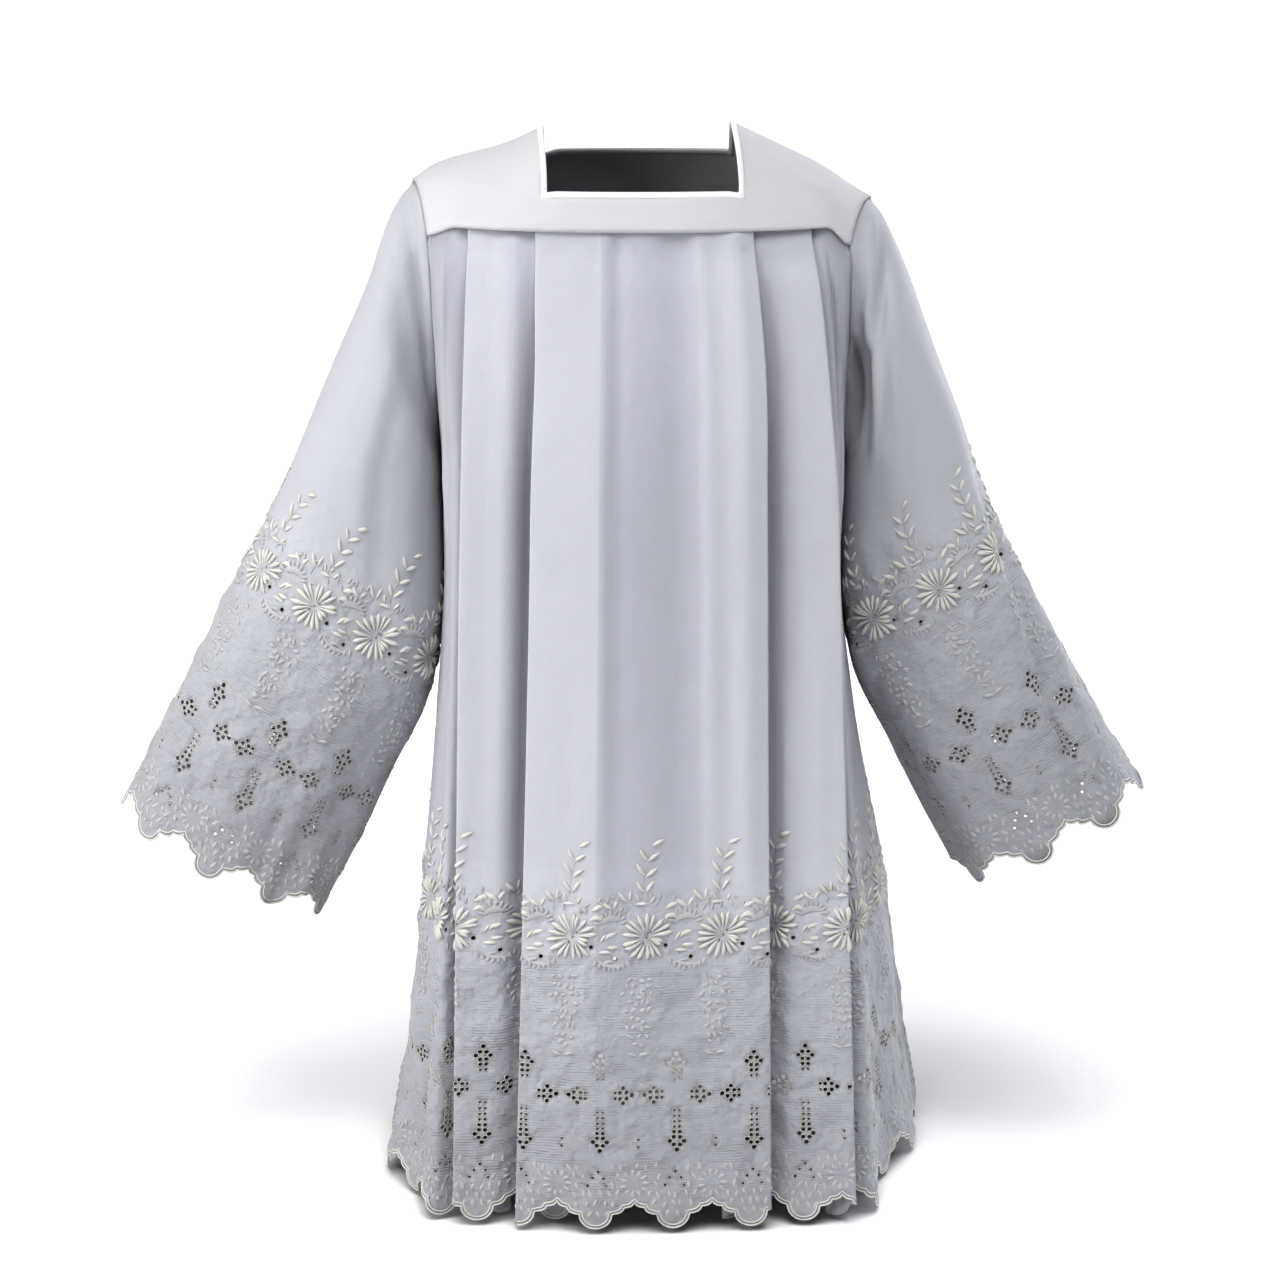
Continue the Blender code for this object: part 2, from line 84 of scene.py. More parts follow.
NeckSide = namedtuple("NeckSide", "front ridge")
NECK_SIDES = {"right": NeckSide(0.0841, 0.0891), "left": NeckSide(0.0859, 0.0792)}

# Front and back panels, as in the CAD but for the pressed ridge's height
CLEAR_OF_YOKE = 0.0014
HEM_LEVEL = -0.985
UNDERARM = -0.290
RECESS_WIDTH = 0.020
SIDE_HOLLOW_WIDTH = 0.026
SIDE_FOLD_DEPTH = 0.012
SIDE_FOLDS = 1.5
FOLD_RADIUS = 0.0016
RELIEF_GAIN = 1.5  # times the CAD's height of the pressed ridge
PUCKER = 0.0045
PUCKER_LENGTHS = (0.075, 0.052, 0.036, 0.026, 0.019, 0.014)
PUCKERS_PER_LENGTH = 3
PUCKER_SHARES = (0.25, 1.5)  # above the border and in it
PUCKERED_BORDER_TOP = 0.34
PUCKER_FADE = 0.06
CREASE_FADE = 0.3  # of its length, at each end
FLAT_BESIDE_FOLD = 0.012
FLAT_AT_TOP = 0.012
FLAT_AT_SIDE = 0.018
RADII_IN_FOLD = 4.2  # a fold is at least this many radii deep
SIDE_SAMPLES = 121
YOKE_HOLD = 0.047  # how far below the yoke's edge the panels still feel it

Row = namedtuple("Row", "z right_a right_b left_b left_a centre inner outer seam pitch recess relief")
FRONT_ROWS = table(
    Row,
    (-77, 155, 94.5, 99, 150.7, 83.6, 76.9, 60.9, 44, 2.6, 0, 0),
    (-83, 155, 94.5, 99, 150.7, 85.5, 78.8, 62.8, 45.5, 2.6, 0, 0),
    (-130, 156.5, 94.5, 103.5, 158, 108, 103, 86, 52, 4, 3, 2),
    (-200, 158.5, 94.5, 109.5, 165.5, 134, 129, 113, 47, 6, 8, 5),
    (-250, 160, 96.5, 111, 170, 145, 140, 125, 32, 6.5, 10, 7),
    (-290, 161, 98, 111.2, 173.5, 150, 145, 131, 0, 7, 11, 8),
    (-400, 164, 100.5, 112.5, 178, 156, 150, 138, 0, 7, 11, 8),
    (-550, 167.2, 104.5, 114, 183.5, 163, 156, 145, 0, 7, 10, 8),
    (-740, 171, 110, 116.8, 190.5, 173, 166, 155, 0, 7, 9, 5),
    (-985, 175.8, 117.4, 120, 199, 188, 180, 172, 0, 6, 7, 2),
)
BACK_ROWS = table(
    Row,
    (-109, 150, 92, 92, 150, 93.6, 87.2, 70.5, 49, 2.6, 0, 0),
    (-115, 150, 92, 92, 150, 95.5, 89.2, 72.4, 50.5, 2.6, 0, 0),
    (-150, 152, 93, 93, 152, 110, 104, 88, 54, 4, 2, 0),
    (-200, 155, 94, 94, 155, 121, 115, 100, 47, 5, 5, 1),
    (-250, 158, 96, 96, 158, 127, 121, 108, 32, 6, 7, 2),
    (-290, 160, 97, 97, 160, 130, 124, 112, 0, 6.5, 8, 2),
    (-400, 163, 100, 100, 165, 134, 128, 116, 0, 6.5, 8, 3),
    (-550, 168, 104, 104, 172, 141, 135, 123, 0, 6.5, 8, 4),
    (-740, 175.5, 111, 111, 182, 157, 150, 138, 0, 6.5, 8, 4),
    (-985, 186, 120, 120, 195, 186, 180, 167, 0, 6, 7, 2),
)
SeamRow = namedtuple("SeamRow", "z right left right_back left_back")
SEAM_ROWS = table(
    SeamRow,
    (-83, 191.5, 186.5, 0, 0),
    (-130, 189.5, 186.8, 0, 0),
    (-200, 187, 185.8, 0, 0),
    (-250, 185.2, 184.2, 0, 0),
    (-290, 184, 183, 0, 0),
    (-400, 182.2, 181.2, 0, 4),
    (-550, 190.5, 198, 0, 20),
    (-740, 206.5, 233, 0, 52),
    (-870, 219, 250, 0, 74),
    (-985, 240, 270, 0, 92),
)
Tucks = namedtuple("Tucks", "right_a right_b left_b left_a")  # how far back each fold's layers reach
Relief = namedtuple("Relief", "ridge trough")
Corners = namedtuple("Corners", "right left")
Panel = namedtuple("Panel", "half rows tucks relief corners")
FRONT = Panel(
    YOKE_FRONT, FRONT_ROWS, Tucks(0.053, 0.051, 0.0455, 0.028), Relief(-0.040, 0.050), Corners(1.0, 0.8)
)
BACK = Panel(
    YOKE_BACK, BACK_ROWS, Tucks(0.040, 0.045, 0.045, 0.040), Relief(0.030, -0.045), Corners(1.0, 1.0)
)

# Sleeves, as in the CAD but for a fuller right shoulder, inner lines nearer the body under the arms
# and a wider inner corner at the right cuff
SleeveRow = namedtuple("SleeveRow", "outer_out outer_z inner_out inner_z front back")
RIGHT_SLEEVE_ROWS = table(
    SleeveRow,
    (226.5, -80, 186.2, -298, 56, 56),
    (250, -145, 185.2, -309, 74, 66),
    (280, -213, 184.6, -326, 79, 67),
    (308, -278, 183.8, -348, 80, 66),
    (328.6, -327, 182.9, -405, 80, 64),
    (355, -380, 186, -465, 80, 62),
    (385, -435, 199, -531, 80, 60),
    (422, -507, 237, -610, 80, 60),
    (451.5, -564, 264, -668, 80, 60),
    (487, -636, 301, -738, 80, 58),
)
LEFT_SLEEVE_ROWS = table(
    SleeveRow,
    (218, -83, 186.2, -298, 56, 56),
    (238, -125, 185.2, -310, 74, 66),
    (262, -190, 184, -326, 79, 67),
    (292, -268, 183, -350, 80, 66),
    (312, -330, 182.2, -396, 80, 64),
    (339, -392, 186.6, -450, 80, 62),
    (366, -440, 198, -508, 80, 60),
    (396, -495, 230, -573, 80, 60),
    (426, -548, 260, -634, 80, 60),
    (457, -600, 288, -686, 80, 58),
)
INNER_ROUNDNESS = 0.50
OUTER_ROUNDNESS = 0.80
SLEEVE_UNDER = 0.0008  # how far the sleeve's edge lies under the yoke's and the panels'
ARMHOLE_DOWNS = (0.0, 0.25, 0.5, 0.75, 0.95)
ARMHOLE_LEVELS = (-0.110, -0.140, -0.170, -0.200, -0.225, -0.250, -0.270)
RING_SAMPLES = 360
LINE_SAMPLES = 240

# The embroidered border: one repeat has a flower, a spray, a cross, a hanging cluster and a scallop
REPEAT = 0.072
FLOWER_HEIGHT = 0.271
CROSS_HEIGHT = 0.1194
FLOWER_RISE = FLOWER_HEIGHT - CROSS_HEIGHT
FLOWER_TO_CROSS = 0.0283
LOW_TO_CROSS = 0.0034
SCALLOP_LOW = -0.012
CURL_START = 0.08
BORDER_TOP = 0.285
Lobe = namedtuple("Lobe", "width rise")
SCALLOP_LOBES = (Lobe(0.0157, 0.0146), Lobe(0.0113, 0.0064), Lobe(0.0090, 0.0050))
LOBE_STEPS = (6, 4, 4)
LEVEL_AT_SEAM = 0.012

Eyelet = namedtuple("Eyelet", "u v radius")
EyeletRow = namedtuple("EyeletRow", "reach spread radius")  # a pair, or one where the spread is 0
CROSS_HEAD = table(
    EyeletRow,
    (39, 0, 2.2),
    (33.4, 2.9, 2),
    (30, 6.6, 2),
    (26.2, 2.7, 1.9),
    (21.2, 2.6, 1.8),
    (16, 2.5, 1.2),
)
CROSS_ARM = table(
    EyeletRow,
    (30, 0, 2.1),
    (24.8, 2.8, 1.9),
    (21.6, 6.9, 1.9),
    (18.6, 2.7, 1.8),
    (14, 2.7, 1.5),
)
CROSS_FOOT = table(
    EyeletRow,
    (54, 0, 2.2),
    (49, 2.9, 2),
    (45.5, 6.5, 2.1),
    (41.5, 2.8, 1.9),
    (36.5, 2.7, 1.8),
    (31.5, 2.4, 1.3),
    (26.5, 2.4, 1.2),
    (21.2, 2.4, 1.1),
    (15.8, 2.4, 1),
)
SINGLE_EYELETS = table(  # from the cross
    Eyelet,
    (-10.3, 143, 1.9),
    (13.2, 132, 1.9),
    (36, -43, 1.1),
    (36, -50, 1.1),
    (-1.4, -75, 1.3),
    (-6.8, -81, 1.2),
    (3.8, -81, 1.2),
    (-11, -88, 1.3),
    (6.2, -88, 1.1),
)
FLOWER_EYELETS = (Eyelet(-0.0038, -0.0048, 0.0008), Eyelet(0.0, 0.0, 0.0007), Eyelet(0.0036, 0.0046, 0.0007))
EYELET_SIDES = 8
EYELET_MARGIN = 0.0035  # from the cloth's sides

# Spacing of the cloth's mesh
PLAIN_SPACING = 0.007
BORDER_SPACING = 0.005
COLUMN_SPACING = 0.0065
TOLERANCE = 0.00001
NEAR_HOLE = 0.02
ARC_STEPS = 5
CLEAR_OF_HEM = 0.0025
CLEAR_OF_EYELET = 0.0014
EYELET_RIM = 0.0008
EYELET_RIM_HEIGHT = 0.0006

PETALS = 18
PETAL_WIDTH = 0.0046
PETAL_HEIGHT = 0.0027
PETAL_FULLNESS = 1.75
PETAL_TURNS, PETAL_LEAN, PETAL_BEND = 0.05, 0.08, 0.10  # how far each may be off, in radians
PETAL_REACHES, PETAL_WIDTHS = (0.93, 1.05), (0.9, 1.15)  # as shares of a usual petal's
FLOWER_HALF_AXES = (0.0262, 0.0225)
SHORT_PETAL_REACH = 0.0165
SHORT_PETAL_COSINE = 0.97
SLIT_HALF_AXES = (0.0060, 0.0026)
SLIT_TURN = math.radians(50)
EYELET_TURN = math.radians(-20)  # where the petals are short, beside the first single eyelet

Leaf = namedtuple("Leaf", "u v turn length width height")  # from the flower's centre; turn in degrees
SPRAY = table(
    Leaf,
    (-1.2, 42.5, 128, 14, 4, 2),
    (-1, 42, 54, 14.5, 4, 2),
    (-0.8, 58, 124, 16, 4.2, 2.1),
    (-0.8, 57, 36, 14.5, 4.4, 2.2),
    (1, 73, 124, 13, 3.8, 1.9),
    (1, 72, 32, 14, 4.4, 2.2),
    (5.5, 86, 26, 13, 4.4, 2.1),
    (-17.5, 33, 132, 15, 4.2, 2.1),
    (-16, 34, 84, 11.5, 3.6, 1.7),
    (-11, 31, 4, 13, 3.6, 1.8),
    (4, 32, 62, 8.5, 3, 1.5),
    (-6, 34, 118, 9, 3, 1.4),
    (-33, 28, 148, 13, 4.6, 1.5),
    (-32, 28, 60, 9.5, 3.8, 1.4),
    (18, 26, 25, 14, 5, 1.5),
    (27, -4, 52, 10, 3.2, 1.8),
    (31.5, -2, 48, 9, 3, 1.6),
    (25.5, -13.5, 0, 13.5, 3.6, 1.6),
    (29, -24, 12, 11, 3.8, 1.2),
    (-29, 5, 196, 11.5, 4.6, 1.4),
    (-27, -8, 182, 12, 4, 1.4),
)
Swag = namedtuple("Swag", "u v bend_u bend_v end_u end_v width height")
SWAGS = table(
    Swag,
    (-48, 10.5, -36, 26, -20, 15, 8.5, 1.3),
    (-50, -20, -36, -31, -17, -25, 5, 1.2),
    (17, 16, 23, 24, 30, 17, 5, 1.4),
    (-4, 28, -6, 60, 8, 86, 1.2, 0.5),
    (-18, 22, -21, 29, -17.5, 34, 1.2, 0.5),
)

LEAF_BOW = 0.08  # of its length
STITCH_ROUNDNESS = 0.75

# Low ovals: hanging clusters, rings and lace above the hem, and garlands beside the flowers
Oval = namedtuple("Oval", "length width height")
CLUSTER_COUNTS = (4, 4, 5, 4, 4, 3, 4, 3, 2)
CLUSTER_TO_CROSS = 0.036
CLUSTER_TOP = 0.112
CLUSTER_ROW_HEIGHT = 0.0078
CLUSTER_PITCH = 0.0064
CLUSTER_HEIGHT = 0.0010
CLUSTER_LENGTHS, CLUSTER_WIDTHS = (0.0055, 0.0085), (0.0034, 0.0050)
CLUSTER_JITTER = 0.0022
CLUSTER_LEAVES = table(Leaf, (36, 38, 162, 11, 4, 1.3), (36, 38, 14, 11, 4, 1.3))
RING_OVALS, RING_OVAL = 11, Oval(0.0072, 0.0036, 0.0007)
RING_RADIUS = 0.0105
RING_CLEARANCE = 0.017
RING_V = -0.0860
LACE_ROWS, LACE_COLUMNS = 6, 9
LACE_TOP = -0.0700
LACE_JITTER = 0.0016
LACE_LENGTHS, LACE_TURNS = (0.006, 0.009), (50, 130)
LACE_ROW_HEIGHT = 0.0088
LACE_WIDTH_HEIGHT = (0.0038, 0.0006)
LACE_EDGE_OUT = (0.0, 0.012, 0.016, 0.036)
LACE_EDGE_RISE = (0.0, 0.004, 0.014, 0.026)
LACE_ABOVE_HEM = 0.0085
TRIANGLE_U, TRIANGLE_HALF_WIDTH = -0.002, 0.012  # of eyelets above the scallop's lowest point
TRIANGLE_LOW = -0.0925
ARCH_OVALS, ARCH_OVAL = 9, Oval(0.0095, 0.0040, 0.0012)
ARCH_U, ARCH_HALF_WIDTH = -0.0350, 0.0135
ARCH_V, ARCH_RISE = 0.0130, 0.0110
BOW_OVALS, BOW_OVAL = 8, Oval(0.0075, 0.0036, 0.0011)
BOW_U, BOW_PITCH = -0.0500, 0.0046
BOW_V, BOW_SAG = -0.0240, 0.0055
BOW_TURNS = (1.1, 2.0)
LOOSE_OVALS, LOOSE_OVAL = 14, Oval(0.0075, 0.0034, 0.0010)
LOOSE_U, LOOSE_V = (-0.046, 0.026), (0.026, 0.040)
LOOSE_TURNS = (0.3, 2.8)
EdgeRidge = namedtuple("EdgeRidge", "inset width height")
EDGE_RIDGES = table(EdgeRidge, (0.9, 2, 0.9), (4, 1.7, 0.6))


# ---- Numbers ----


def mix(low, high, share):
    return low + (high - low) * share


def smooth_step(share):
    share = np.clip(share, 0.0, 1.0)
    return share * share * (3.0 - 2.0 * share)


def smooth_between(levels, values, targets):
    """The values at these levels, on smooth curves through the given ones."""
    slopes = np.gradient(values, levels, axis=0)
    place = np.clip(np.searchsorted(levels, targets) - 1, 0, len(levels) - 2)
    one_each = (-1,) + (1,) * (values.ndim - 1)
    step = (levels[place + 1] - levels[place]).reshape(one_each)
    share = np.clip((targets - levels[place]).reshape(one_each) / step, 0.0, 1.0)
    square, cube = share**2, share**3
    blend = (2 * cube - 3 * square + 1) * values[place] + (3 * square - 2 * cube) * values[place + 1]
    return blend + step * ((cube - 2 * square + share) * slopes[place] + (cube - square) * slopes[place + 1])


def smooth_rows(rows, heights):
    """A table's row at each of these heights above the hem's level."""
    values = np.array(rows)[::-1]
    return type(rows[0])(*smooth_between(values[:, 0] - HEM_LEVEL, values, heights).T)


def lengths_along(points):
    """Distance of each point along a line of points, from its first one."""
    return np.concatenate([[0.0], np.cumsum(np.linalg.norm(np.diff(points, axis=0), axis=1))])


def evenly(points, count):
    """This many steps between evenly spaced points along the same line."""
    runs = lengths_along(points)
    targets = np.linspace(0.0, runs[-1], count + 1)
    return np.stack([np.interp(targets, runs, points[:, axis]) for axis in range(3)], axis=1)


def resampled(loop, count):
    """The same closed loop with evenly spaced points, and its first point again at the end."""
    return evenly(np.concatenate([loop, loop[:1]]), count)


def normalized(vectors):
    return vectors / np.maximum(np.linalg.norm(vectors, axis=-1, keepdims=True), 1e-12)


def polar(reach, turn):
    return reach * math.cos(turn), reach * math.sin(turn)


def spaced(start, end, step):
    """Evenly spaced values from start to end, no further apart than step, without the last one."""
    count = max(1, math.ceil((end - start) / step - CLOSE))
    return list(np.linspace(start, end, count, endpoint=False))


def grid_faces(rows, columns, rows_joined=False, columns_joined=False):
    """Quads between the points of a grid, whose rows or columns may be joined into a ring."""
    steps = np.arange(rows - 1 + rows_joined), np.arange(columns - 1 + columns_joined)
    row, column = np.meshgrid(*steps, indexing="ij")
    after, following = (row + 1) % rows * columns, (column + 1) % columns
    row = row * columns
    corners = [row + column, row + following, after + following, after + column]
    return np.stack(corners, axis=-1).reshape(-1, 4)


def copied(faces, count, points_each):
    """The faces of that many copies of one shape."""
    return (faces[None] + np.arange(count)[:, None, None] * points_each).reshape(-1, 4)


# ---- Yoke's form ----

ShoulderBend = namedtuple("ShoulderBend", "sign start run height")
SHOULDER_BENDS = (
    ShoulderBend(-1, 0.11, 0.08, RIGHT_SHOULDER_BULGE),
    ShoulderBend(-1, 0.188, 0.02, -RIGHT_SHOULDER_END),
    ShoulderBend(1, 0.15, RIDGE_HALF_WIDTH - 0.15, -LEFT_SHOULDER_FALL),
)


def yoke_lower_edge(half, x):
    side_drop = np.where(x < 0, half.end_right, half.end_left)
    corner = np.where(x < 0, half.corner_right, half.corner_left)
    return -half.drop - side_drop * smooth_step((np.abs(x) - END_DROP_START) / (corner - END_DROP_START))


def yoke_ridge(x):
    """The top of the shoulders, which bulge a little on the wearer's right and fall on the left."""
    ridge = RIDGE_TOP - SHOULDER_SLOPE * np.maximum(np.abs(x) - NECK_SIDE, 0.0)
    for bend in SHOULDER_BENDS:
        ridge = ridge + bend.height * smooth_step((bend.sign * x - bend.start) / bend.run)
    return ridge


def yoke_out(half, x, turn):
    taper = (np.abs(x) / YOKE_REFERENCE_WIDTH) ** YOKE_END_FALLOFF
    reach = half.reach - (half.reach - half.end_reach) * taper
    return reach * np.sin(turn) / math.sin(YOKE_TURN)


def yoke_half_point(half, x, down):
    turn = np.abs(down) * YOKE_TURN
    fall = (1.0 - np.cos(turn)) / (1.0 - math.cos(YOKE_TURN))
    z = mix(yoke_ridge(x), yoke_lower_edge(half, x), fall)
    return np.stack([x + 0.0 * z, half.sign * yoke_out(half, x, turn), z], axis=-1)


def yoke_point(x, down):
    """Points of the yoke: down runs from -1, its front edge, over the ridge to 1, its back edge."""
    x, down = np.broadcast_arrays(np.asarray(x, float), np.asarray(down, float))
    front = yoke_half_point(YOKE_FRONT, x, down)
    back = yoke_half_point(YOKE_BACK, x, down)
    return np.where((down < 0)[..., None], front, back)


def yoke_normals(x, down):
    across = yoke_point(x + PROBE, down) - yoke_point(x - PROBE, down)
    along = yoke_point(x, down + 0.01) - yoke_point(x, down - 0.01)
    return normalized(np.cross(across, along))


def behind_yoke(half, x, z):
    """The furthest out that a panel may lie where it is tucked behind the yoke."""
    ridge = yoke_ridge(x)
    fall = np.clip((ridge - z) / (ridge - yoke_lower_edge(half, x)), 0.0, 1.0)
    turn = np.arccos(1.0 - fall * (1.0 - math.cos(YOKE_TURN)))
    return yoke_out(half, x, turn) - CLEAR_OF_YOKE


def yoke_end(side, down):
    half = YOKE_FRONT if down < 0 else YOKE_BACK
    return SIGN[side] * mix(RIDGE_HALF_WIDTH, getattr(half, "corner_" + side), abs(down))


def neck_edge(side, down):
    place = NECK_SIDES[side]
    return SIGN[side] * mix(place.ridge, place.front, float(smooth_step(-down / YOKE_FRONT.neckline)))


# ---- Panels' form ----


def centre_out(row, relief, x):
    """Out of the centre panel's face, with its soft ridge and trough."""
    edge = np.where(x < 0, row.right_b, row.left_b)
    base = mix(row.centre, row.inner, (x / edge) ** 2)
    on_outer_side = (x < relief.ridge) == (relief.ridge < 0)
    reach = np.where(on_outer_side, edge, abs(relief.trough - relief.ridge))
    share = np.clip(np.abs(x - relief.ridge) / reach, 0.0, 1.0)
    crisp = 1.0 - 1.2 * share - 0.6 * share**2 + 0.8 * share**3  # 1 at the ridge, levelling out to 0
    return base + RELIEF_GAIN * row.relief * crisp


def knife_fold(layer, share, edge, tuck, face, sunk):
    """Across and out of one layer of a knife pleat: its outer fold, middle, inner fold or under layer."""
    radius = np.minimum(FOLD_RADIUS, sunk / RADII_IN_FOLD)
    back = edge - tuck
    if layer == 0:
        return edge - radius * (1 - np.sin(np.pi * share)), face(edge) - radius * (1 - np.cos(np.pi * share))
    if layer == 1:
        across = mix(edge - radius, back + radius, share)
        return across, face(across) - mix(2 * radius, sunk - 2 * radius, share)
    if layer == 2:
        across = back + radius * (1 - np.sin(np.pi * share))
        return across, face(back + radius) - sunk + radius * (1 + np.cos(np.pi * share))
    across = mix(back + radius, edge, share)
    return across, face(across) - sunk


def side_point(panel, side, row, turn):
    """Across and out of the cloth that runs round the body's side, from the last fold to the seam."""
    seam = smooth_rows(SEAM_ROWS, row.z - HEM_LEVEL)
    start_across = getattr(row, side + "_a")
    start_out = face_a_out(panel, side, row, start_across) - 2 * row.pitch
    seam_out = np.maximum(row.seam, SEAM_SHARE * SEAM_GAP) + panel.half.sign * getattr(seam, side + "_back")
    below_underarm = smooth_step((UNDERARM - row.z) / (UNDERARM - HEM_LEVEL))
    corner = mix(1.0, getattr(panel.corners, side), below_underarm)
    share = turn / (math.pi / 2)
    wave = SIDE_FOLD_DEPTH * below_underarm
    wave = wave * np.sin(math.pi * share) * np.sin(2 * math.pi * SIDE_FOLDS * share)
    reach = np.sin(turn) - (1.0 - corner) * np.sin(2 * turn)
    across = mix(start_across, getattr(seam, side), reach) + wave * np.sin(turn)
    hollow = row.recess * (1.0 - smooth_step((across - start_across) / SIDE_HOLLOW_WIDTH)) * np.cos(turn)
    return across, mix(seam_out, start_out, np.cos(turn)) + wave * np.cos(turn) - hollow


def face_b_out(panel, side, row, across):
    return centre_out(row, panel.relief, SIGN[side] * across)


def face_a_out(panel, side, row, across):
    fold_a, fold_b = getattr(row, side + "_a"), getattr(row, side + "_b")
    start = face_b_out(panel, side, row, fold_b) - 2 * row.pitch
    flat = mix(start, row.outer, (across - fold_b) / (fold_a - fold_b))
    return flat - row.recess * (1.0 - smooth_step((across - fold_b) / RECESS_WIDTH))


def side_turns(panel, side):
    """Turns round the body's side and the share of the cloth's length to each, measured at the hem."""
    turns = np.linspace(0.0, math.pi / 2, SIDE_SAMPLES)
    row = smooth_rows(panel.rows, np.zeros(len(turns)))
    lengths = lengths_along(np.stack(side_point(panel, side, row, turns), axis=1))
    return turns, lengths


HalfCut = namedtuple("HalfCut", "runs ends turns turn_shares")
FOLDS = (("_b", face_b_out), ("_a", face_a_out))  # from the middle, each with the face before it
STRETCHES_PER_FOLD = 5
SIDE_STRETCH = 10
ARC_STRETCHES = (1, 3, 6, 8)


def half_cut(panel, side):
    """Lengths of one half's cloth at the hem: face, four layers, face, four layers, and the side."""
    hem = panel.rows[-1]
    turns, lengths = side_turns(panel, side)
    arc = math.pi * FOLD_RADIUS
    runs, start = [], 0.0
    for fold, _ in FOLDS:
        edge, tuck = getattr(hem, side + fold), getattr(panel.tucks, side + fold)
        runs += [edge - start - FOLD_RADIUS, arc, tuck - 2 * FOLD_RADIUS, arc, tuck - FOLD_RADIUS]
        start = edge
    runs = np.array(runs + [lengths[-1]])
    return HalfCut(runs, np.cumsum(runs), turns, lengths / lengths[-1])


def stretch_place(panel, side, cut, row, index, share):
    """Across and out on one stretch of a half: a face, one of the four layers of a fold, or the side."""
    if index == SIDE_STRETCH:
        return side_point(panel, side, row, np.interp(share, cut.turn_shares, cut.turns))
    fold, face_out = FOLDS[index // STRETCHES_PER_FOLD]
    layer = index % STRETCHES_PER_FOLD
    edge, face = getattr(row, side + fold), partial(face_out, panel, side, row)
    if layer:
        tuck = getattr(panel.tucks, side + fold)
        return knife_fold(layer - 1, share, edge, tuck, face, 2 * row.pitch + row.recess)
    start = 0.0 if index == 0 else getattr(row, side + "_b")
    across = mix(start, edge - FOLD_RADIUS, share)
    return across, face(across)


def half_place(panel, side, cut, cloth, height):
    """Across and out of places on one half. cloth is the distance along it from the middle, at the hem."""
    rows = smooth_rows(panel.rows, height)
    stretch = np.minimum(np.searchsorted(cut.ends, cloth, side="right"), SIDE_STRETCH)
    shares = (cloth - (cut.ends - cut.runs)[stretch]) / cut.runs[stretch]
    result = np.empty((2, len(cloth)))
    for index in np.unique(stretch):
        chosen = stretch == index
        row = Row(*(column[chosen] for column in rows))
        result[:, chosen] = stretch_place(panel, side, cut, row, index, shares[chosen])
    return result


def panel_place(panel, cuts, u, v):
    """Points of a panel. Its u runs towards the wearer's left on the front and right on the back."""
    half = panel.half
    towards_left = -half.sign * u
    height = np.minimum(v, panel.rows[0].z - HEM_LEVEL)
    across, out = np.empty((2, len(u)))
    for side, chosen in (("right", towards_left < 0), ("left", towards_left >= 0)):
        place = half_place(panel, side, cuts[side], np.abs(u[chosen]), height[chosen])
        across[chosen], out[chosen] = place
    x = np.sign(towards_left) * across
    hold = 1.0 - smooth_step((-half.drop - (HEM_LEVEL + v)) / YOKE_HOLD)
    edge = yoke_lower_edge(half, x)
    z = HEM_LEVEL + v + (edge + half.drop) * hold
    excess = np.maximum(out - behind_yoke(half, x, np.maximum(z, edge)), 0.0)
    return np.stack([x, half.sign * (out - excess * hold), z], axis=-1)


# ---- Sleeves' form ----


def armhole_loop(side):
    """The sleeve's first ring, just outside the armhole: from the ridge, down the front and up the back."""

    def under_yoke_end(down):
        x = yoke_end(side, down)
        x, y, z = yoke_point(x, down) - yoke_normals(x, down) * SLEEVE_UNDER
        return abs(x) - SLEEVE_UNDER, y, z

    def seam_out(z):
        return float(getattr(smooth_rows(SEAM_ROWS, np.array([z - HEM_LEVEL])), side)[0])

    def under_seam(panel, z):
        seam = float(max(smooth_rows(panel.rows, np.array([z - HEM_LEVEL])).seam[0], 0.0))
        return seam_out(z) - SLEEVE_UNDER, panel.half.sign * (seam - SLEEVE_UNDER), z

    loop = [under_yoke_end(-down) for down in ARMHOLE_DOWNS]
    loop += [under_seam(FRONT, z) for z in ARMHOLE_LEVELS]
    loop.append((seam_out(UNDERARM) - SLEEVE_UNDER / 2, 0.0, UNDERARM + SLEEVE_UNDER))
    loop += [under_seam(BACK, z) for z in ARMHOLE_LEVELS[:0:-1]]
    loop += [under_yoke_end(down) for down in ARMHOLE_DOWNS[:0:-1]]
    return np.array(loop)


def sleeve_ring(row):
    """One ring of a sleeve: rounder at its outer end, squarer at the fold beside the body."""
    turn = np.linspace(0.0, 2 * math.pi, RING_SAMPLES, endpoint=False)
    share = 0.5 + 0.5 * np.cos(turn)
    bulge = np.abs(np.sin(turn)) ** mix(INNER_ROUNDNESS, OUTER_ROUNDNESS, share)
    depth = np.where(turn <= math.pi, -row.front, row.back) * bulge
    out = mix(row.inner_out, row.outer_out, share)
    return np.stack([out, depth, mix(row.inner_z, row.outer_z, share)], axis=1)


SleeveForm = namedtuple("SleeveForm", "side grid lengths girth narrowing")
STRAIGHT_CUFF = 0.020


def sleeve_form(side, rows):
    """The sleeve's surface as a dense grid, from cuff to armhole, evenly spaced along each line."""
    rings = [armhole_loop(side)] + [sleeve_ring(row) for row in rows]
    rings = np.array([resampled(ring, RING_SAMPLES) for ring in rings])[::-1]
    middles = lengths_along(rings.mean(axis=1))
    lines = smooth_between(middles, rings, np.linspace(0.0, middles[-1], 4 * LINE_SAMPLES))
    columns = range(RING_SAMPLES + 1)
    lengths = np.array([lengths_along(lines[:, column])[-1] for column in columns])
    grid = np.stack([evenly(lines[:, column], LINE_SAMPLES) for column in columns], axis=1)
    girths = np.linalg.norm(np.diff(grid, axis=1), axis=2).sum(axis=1)
    heights = np.linspace(0.0, lengths.mean(), LINE_SAMPLES + 1) + STRAIGHT_CUFF
    return SleeveForm(side, grid, lengths, girths[0], (heights, girths / girths[0]))


